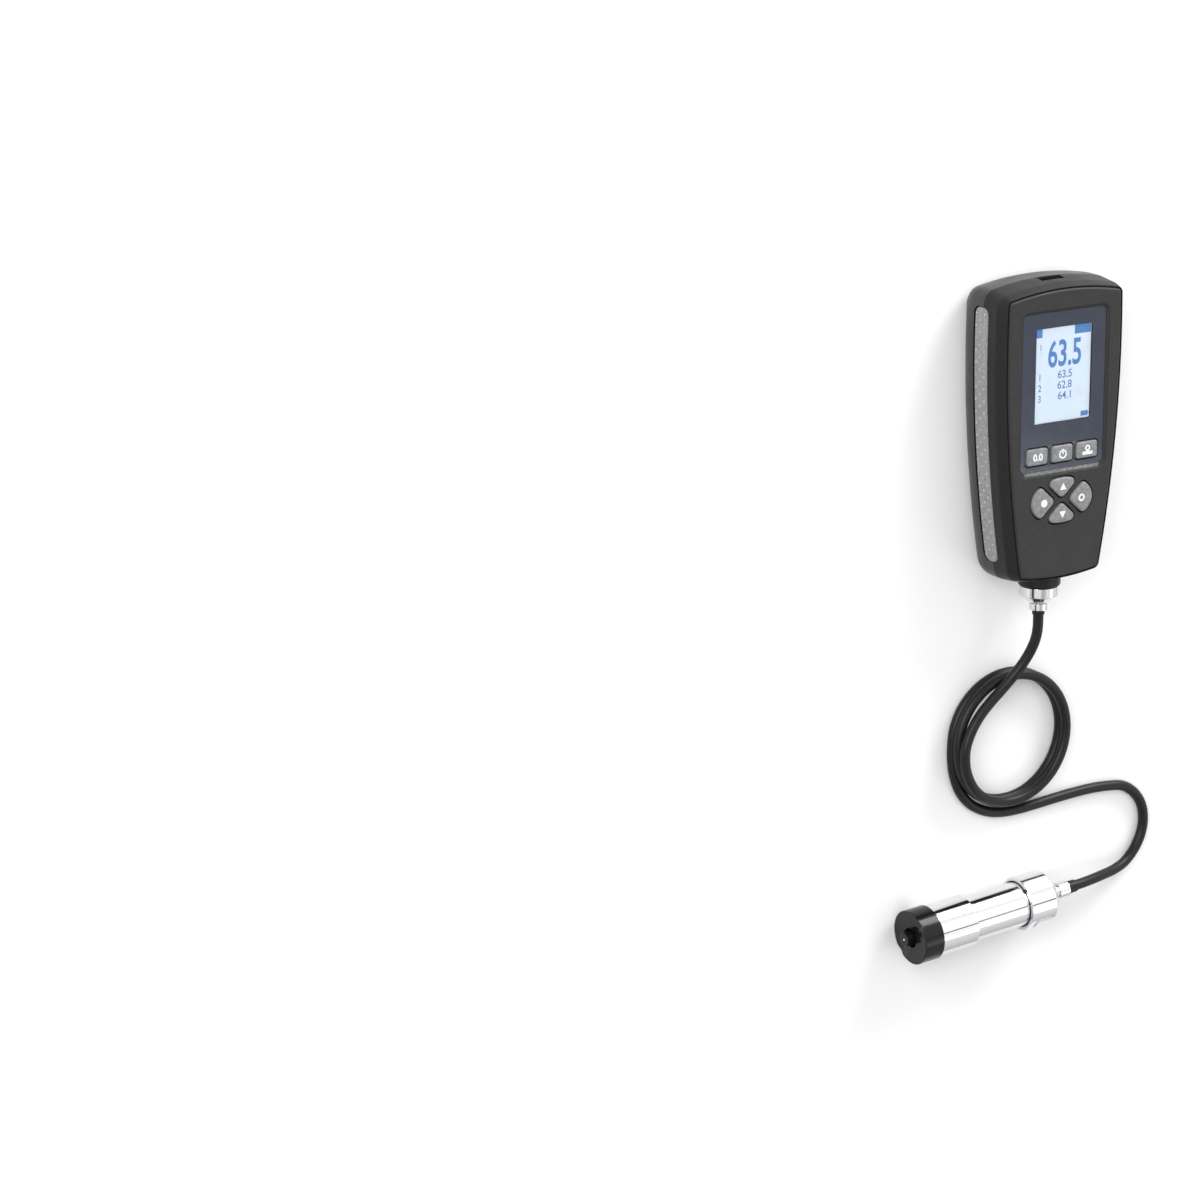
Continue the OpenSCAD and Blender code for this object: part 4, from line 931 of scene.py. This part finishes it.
def make_dots():
    tree, ids = dot_tree()
    for name, sign in (("grip_right_dots", 1), ("grip_left_dots", -1)):
        o = work_object(bpy.data.meshes.new("work"))
        mod = o.modifiers.new("dots", "NODES")
        mod.node_group = tree
        for key, value in (("Length", (GRIP_L - 6) * MM), ("Width", 6.0 * MM), ("Dot radius", 0.72 * MM),
                           ("Side radius", SIDE_R * MM), ("Widest at", WIDE_Y * MM),
                           ("Half width", (HALF_W + GRIP_OUT - 0.05) * MM), ("Middle height", GRIP_Z * MM),
                           ("Along", 41), ("Across", 3), ("Material", DOTS_HIGHLIGHT)):
            mod[ids[key]] = value
        mesh = worked(o)
        if sign < 0:
            mesh.transform(Matrix.Scale(-1, 4, (1, 0, 0)))
        place(name, mesh, DOTS_HIGHLIGHT, ROOT)


make_grips()
make_dots()


# Display

def flat_text(words, height, x, y, z, bold=0.0, squeeze=1.0):
    """Numbers as a flat mesh, centred on x and y."""
    c = bpy.data.curves.new("work", "FONT")
    c.body, c.align_x, c.align_y = words, "CENTER", "CENTER"
    c.size, c.offset, c.resolution_u = height / 0.7, bold, 6
    mesh = worked(work_object(c))
    xs, ys = [v.co.x for v in mesh.vertices], [v.co.y for v in mesh.vertices]
    mid = Vector(((min(xs) + max(xs)) / 2, (min(ys) + max(ys)) / 2, 0))
    for v in mesh.vertices:
        p = v.co - mid
        v.co = Vector((x + p.x * squeeze, y + p.y, z)) * MM
    verts = [tuple(v.co / MM) for v in mesh.vertices]
    faces = [tuple(p.vertices) for p in mesh.polygons]
    bpy.data.meshes.remove(mesh)
    return verts, faces


def flat_loop(loop, z):
    return at(loop, z), [tuple(range(len(loop)))]


def flat_ring(outer, inner, z):
    n = len(outer)
    return (at(outer, z) + at(inner, z),
            [(j, (j + 1) % n, n + (j + 1) % n, n + j) for j in range(n)])


def printed(name, part, mat, body, thick=0.03):
    """A thin raised print made of flat faces."""
    mesh = mesh_of(*part)
    bm = bmesh.new()
    bm.from_mesh(mesh)
    for f in bm.faces:
        if f.normal.z < 0:
            f.normal_flip()
    out = bmesh.ops.extrude_face_region(bm, geom=list(bm.faces))
    bmesh.ops.translate(bm, vec=(0, 0, thick * MM), verts=[v for v in out["geom"] if isinstance(v, bmesh.types.BMVert)])
    bm.to_mesh(mesh)
    bm.free()
    return place(name, mesh, mat, body)


def make_display():
    keyways = [key_loop(i, KEY_GAP) for i in (-1, 0, 1)]
    view = rounded_rect(VIEW_W - 0.4, VIEW_H - 0.4, 0.6, 0, VIEW_Y)
    sheet = slab(rounded_rect(WINDOW_W, WINDOW_H, WINDOW_R, 0, WINDOW_Y, 12),
                 [view] + keyways, RECESS_Z, WINDOW_Z, 0.12, 0.05, 3)
    place("window_sheet", sheet, SHEET, ROOT, ("display_window",))
    pane = slab(view, [], RECESS_Z + 0.05, WINDOW_Z - 0.02, 0.02)
    place("window_pane", pane, PANE, ROOT)

    glass = slab(rounded_rect(GLASS_W, GLASS_H, 1.0, 0, VIEW_Y), [], GLASS_Z - GLASS_T, GLASS_Z, 0.1)
    place("display_glass", glass, LIT, ROOT, ("lcd_glass",))
    z = GLASS_Z + 0.005
    top, right, left, low = VIEW_Y + VIEW_H / 2, VIEW_W / 2, -VIEW_W / 2, VIEW_Y - VIEW_H / 2
    ink = [flat_text("63.5", 12.0, 1.0, top - 12.6, z, 0.33, 0.66)]
    ink += [flat_text(word, 3.6, 1.4, top - 22.6 - 5.0 * i, z, 0.05, 0.95)
            for i, word in enumerate(("63.5", "62.8", "64.1"))]
    ink += [flat_text(word, 3.2, left + 3.2, top - 23.0 - 5.0 * i, z, 0.04, 0.9) for i, word in enumerate("123")]
    ink.append(flat_text("1", 2.6, left + 3.4, top - 9.0, z, 0.03))
    for w, h, r, x, y in ((3.8, 4.0, 0.2, left + 2.2, top - 2.4), (9.2, 4.2, 0.2, right - 5.0, top - 2.5),
                          (4.0, 2.4, 0.2, right - 3.0, low + 2.2), (0.5, 1.0, 0.1, right - 0.7, low + 2.2)):
        ink.append(flat_loop(rounded_rect(w, h, r, x, y), z))
    printed("display_figures", joined(*ink), INK, ROOT)


make_display()


# Keys and their symbols

def ring_gap(cx, cy, r0, r1, a0, a1, z, n=28):
    outer, inner = arc((cx, cy), r1, a0, a1, n, 1), arc((cx, cy), r0, a0, a1, n, 1)
    k = n + 1
    return at(outer, z) + at(inner, z), [(j, j + 1, k + j + 1, k + j) for j in range(n)]


def disc(x, y, r, n):
    return arc((x, y), r, 0, 360, n)


def make_key(name, body, loop, top, edge, crown, mark):
    """A key's cap and the symbol that stands in it."""
    place(name + "_cap", crowned(loop, KEY_FOOT, top, edge, crown), KEYS, body, (name,))
    printed(name + "_mark", joined(*mark), SYMBOL, body, MARK_T)


def make_keys():
    top = WINDOW_Z + KEY_RISE
    z = top - MARK_IN
    x, stamp_y = ROW_PITCH, ROW_Y + 0.85
    digits = [flat_text("0.0", 3.1, -ROW_PITCH, ROW_Y, z, 0.12)]
    power = [ring_gap(0, ROW_Y - 0.2, 1.5, 2.15, 112, 428, z),
             flat_loop(rounded_rect(0.7, 2.5, 0.3, 0, ROW_Y + 1.05), z)]
    stamp = [flat_ring(disc(x, stamp_y, 1.4, 28), disc(x, stamp_y, 0.72, 28), z),
             flat_loop(rounded_rect(1.6, 0.8, 0.1, x, ROW_Y - 0.75), z + 0.002),
             flat_loop(rounded_rect(5.7, 1.5, 0.35, x, ROW_Y - 1.45), z + 0.004)]
    for name, body, i, mark in (("key_calibrate", "calibrate_key", -1, digits), ("key_power", "power_key", 0, power),
                                ("key_print", "print_key", 1, stamp)):
        make_key(name, body, key_loop(i, 0.0), top, 0.75, 0.2, mark)

    top = PLATE_Z + KEY_RISE
    z = top - MARK_IN
    up, down = PAD_Y + PAD_H * MARK_OUT, PAD_Y - PAD_H * MARK_OUT
    left, right = -PAD_W * MARK_OUT, PAD_W * MARK_OUT
    rise = flat_loop([(-MARK_R, up - 1.5), (MARK_R, up - 1.5), (0, up + 1.6)], z)
    fall = flat_loop([(-MARK_R, down + 1.5), (0, down - 1.6), (MARK_R, down + 1.5)], z)
    dot = flat_loop(disc(left, PAD_Y, MARK_R, 32), z)
    ring = flat_ring(disc(right, PAD_Y, MARK_R, 32), disc(right, PAD_Y, 0.95, 32), z)
    for turn, (name, body, mark) in enumerate((("pad_up", "up_key", rise), ("pad_left", "left_key", dot),
                                               ("pad_down_key", "down_key", fall), ("pad_right", "right_key", ring))):
        make_key(name, body, pad_loop(turn, 0.0), top, 0.85, 0.25, [mark])


make_keys()


# Probe: distances from its nose face, and radii

def make_probe():
    r, body, slim, bore = PROBE_D / 2, 12.6, 10.9, 9.3
    cap, spigot, sleeve, rear, collar, cone, neck, gland = 11.0, 15.0, 31.5, 62.5, 77.0, 84.5, 86.0, 92.0
    mouth, mouth_r, guide_r, spigot_r = 3.0, 4.75, 3.6, slim - 1.0
    seal, back, cavity = slim + 0.4, rear + 7.25, collar - 2.0
    cone_r, neck_r, wire_r, gland_r, boot_r, boot_end_r = 4.8, 3.4, 1.5, 4.1, 3.2, 3.0
    pin_out, pin_r, shoulder_r, tail_r, tip, tip_r = 3.6, 3.55, 5.55, 2.95, 2.0, 0.65
    shoulder, shoulder_end, tail = spigot + 0.1, spigot + 2.1, spigot + 11.1
    roll = Matrix.Rotation(math.radians(45), 4, "Z")
    # The groove across the nose, as shallow as the photo shows it
    vee_x, vee_d = 3.8, 0.9
    vee = skin([[(-vee_x, y, 0), (-vee_x, y, -1), (vee_x, y, -1), (vee_x, y, 0), (0, y, vee_d)] for y in (-20.0, 20.0)])
    turned("nose_block", "nose_cap", [
        (0, mouth_r), (0, r), (cap, r), (cap, spigot_r), (spigot, spigot_r), (spigot, guide_r), (mouth, guide_r),
        (mouth, mouth_r)], PROBE, BLACK, 0.5, cutters=[mesh_of(*moved(vee, PROBE @ roll))])
    turned("sleeve_turned", "front_sleeve", [
        (cap, slim - 0.95), (cap, body), (sleeve, body), (sleeve, slim + FIT), (spigot + 1.0, slim + FIT),
        (spigot + 1.0, slim - 0.95)], PROBE, CHROME, 0.35)
    turned("tube_turned", "probe_tube", tube(spigot + 1.1, back, bore, slim), PROBE, CHROME, 0.2)
    turned("seal_ring", "collar_seal", tube(rear - 0.1, rear + 0.6, slim + FIT, seal), PROBE, JACKET, 0.1)
    flat = box(r - 0.7, r + 8, -r, r, rear - 1, rear + 4.5)
    flats = [mesh_of(*moved(flat, PROBE @ roll @ Matrix.Rotation(a, 4, "Z"))) for a in (0, math.pi)]
    turned("collar_turned", "rear_collar", [
        (rear, seal + 0.1), (rear, r), (collar, r), (cone, cone_r), (cone, neck_r), (neck, neck_r), (neck, wire_r),
        (cavity, wire_r), (cavity, bore), (back + 0.1, bore), (back + 0.1, slim + FIT), (rear + 0.7, slim + FIT),
        (rear + 0.7, seal + 0.1)], PROBE, CHROME, 0.5, cutters=flats)
    turned("gland_turned", "probe_gland", tube(neck, gland, wire_r, gland_r), PROBE, CHROME, 0.5)
    turned("probe_relief", "probe_boot", [
        (gland, 0.0), (gland, boot_r), (PROBE_L, boot_end_r), (PROBE_L, 0.0)], PROBE, JACKET, 0.35)
    turned("pin_shaft", "sensor_pin", [
        (-pin_out, tip_r), (-pin_out, pin_r), (shoulder, pin_r), (shoulder, shoulder_r), (shoulder_end, shoulder_r),
        (shoulder_end, tail_r), (tail, tail_r), (tail, 0.0), (tip, 0.0), (tip, tip_r)],
        PROBE, BLACK, 0.6, "pin")


def make_return_spring():
    """The spring behind the pin's shoulder, which on the real probe shortens as the pin is pressed in; here it is built
    as one fixed coil.
    """
    shoulder, seat, travel, wire, coil, turns = 17.1, 30.1, 3.0, 0.8, 4.75, 6
    start, end = shoulder + wire / 2 + 0.1, seat - wire / 2 - 0.1
    steps = turns * 24
    rings = []
    for i in range(steps + 1):
        angle = 2 * math.pi * turns * i / steps
        along = start + (end - start) * i / steps
        rings.append([((coil + c * wire / 2) * math.cos(angle), (coil + c * wire / 2) * math.sin(angle),
                       along + s * wire / 2) for c, s in circle(10)])
    spring = place("return_spring", mesh_of(*moved(skin(rings), PROBE)), STEEL, ROOT, ("pin_spring",))
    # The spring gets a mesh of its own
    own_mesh(spring)


make_probe()
make_return_spring()

# Pieces that keep their solids
for node, mat in (("lcd_frame", WHITE), ("keypad_mat", RUBBER), ("main_board", BOARD), ("buzzer", BLACK),
                  ("usb_socket", BLACK), ("case_screws", STEEL), ("battery_cells", CELL), ("battery_springs", STEEL),
                  ("battery_plates", STEEL), ("socket_nut", STEEL), ("pole_tip", STEEL), ("spring_seat", BRASS)):
    nodes[node].data.materials.clear()
    nodes[node].data.materials.append(mat)
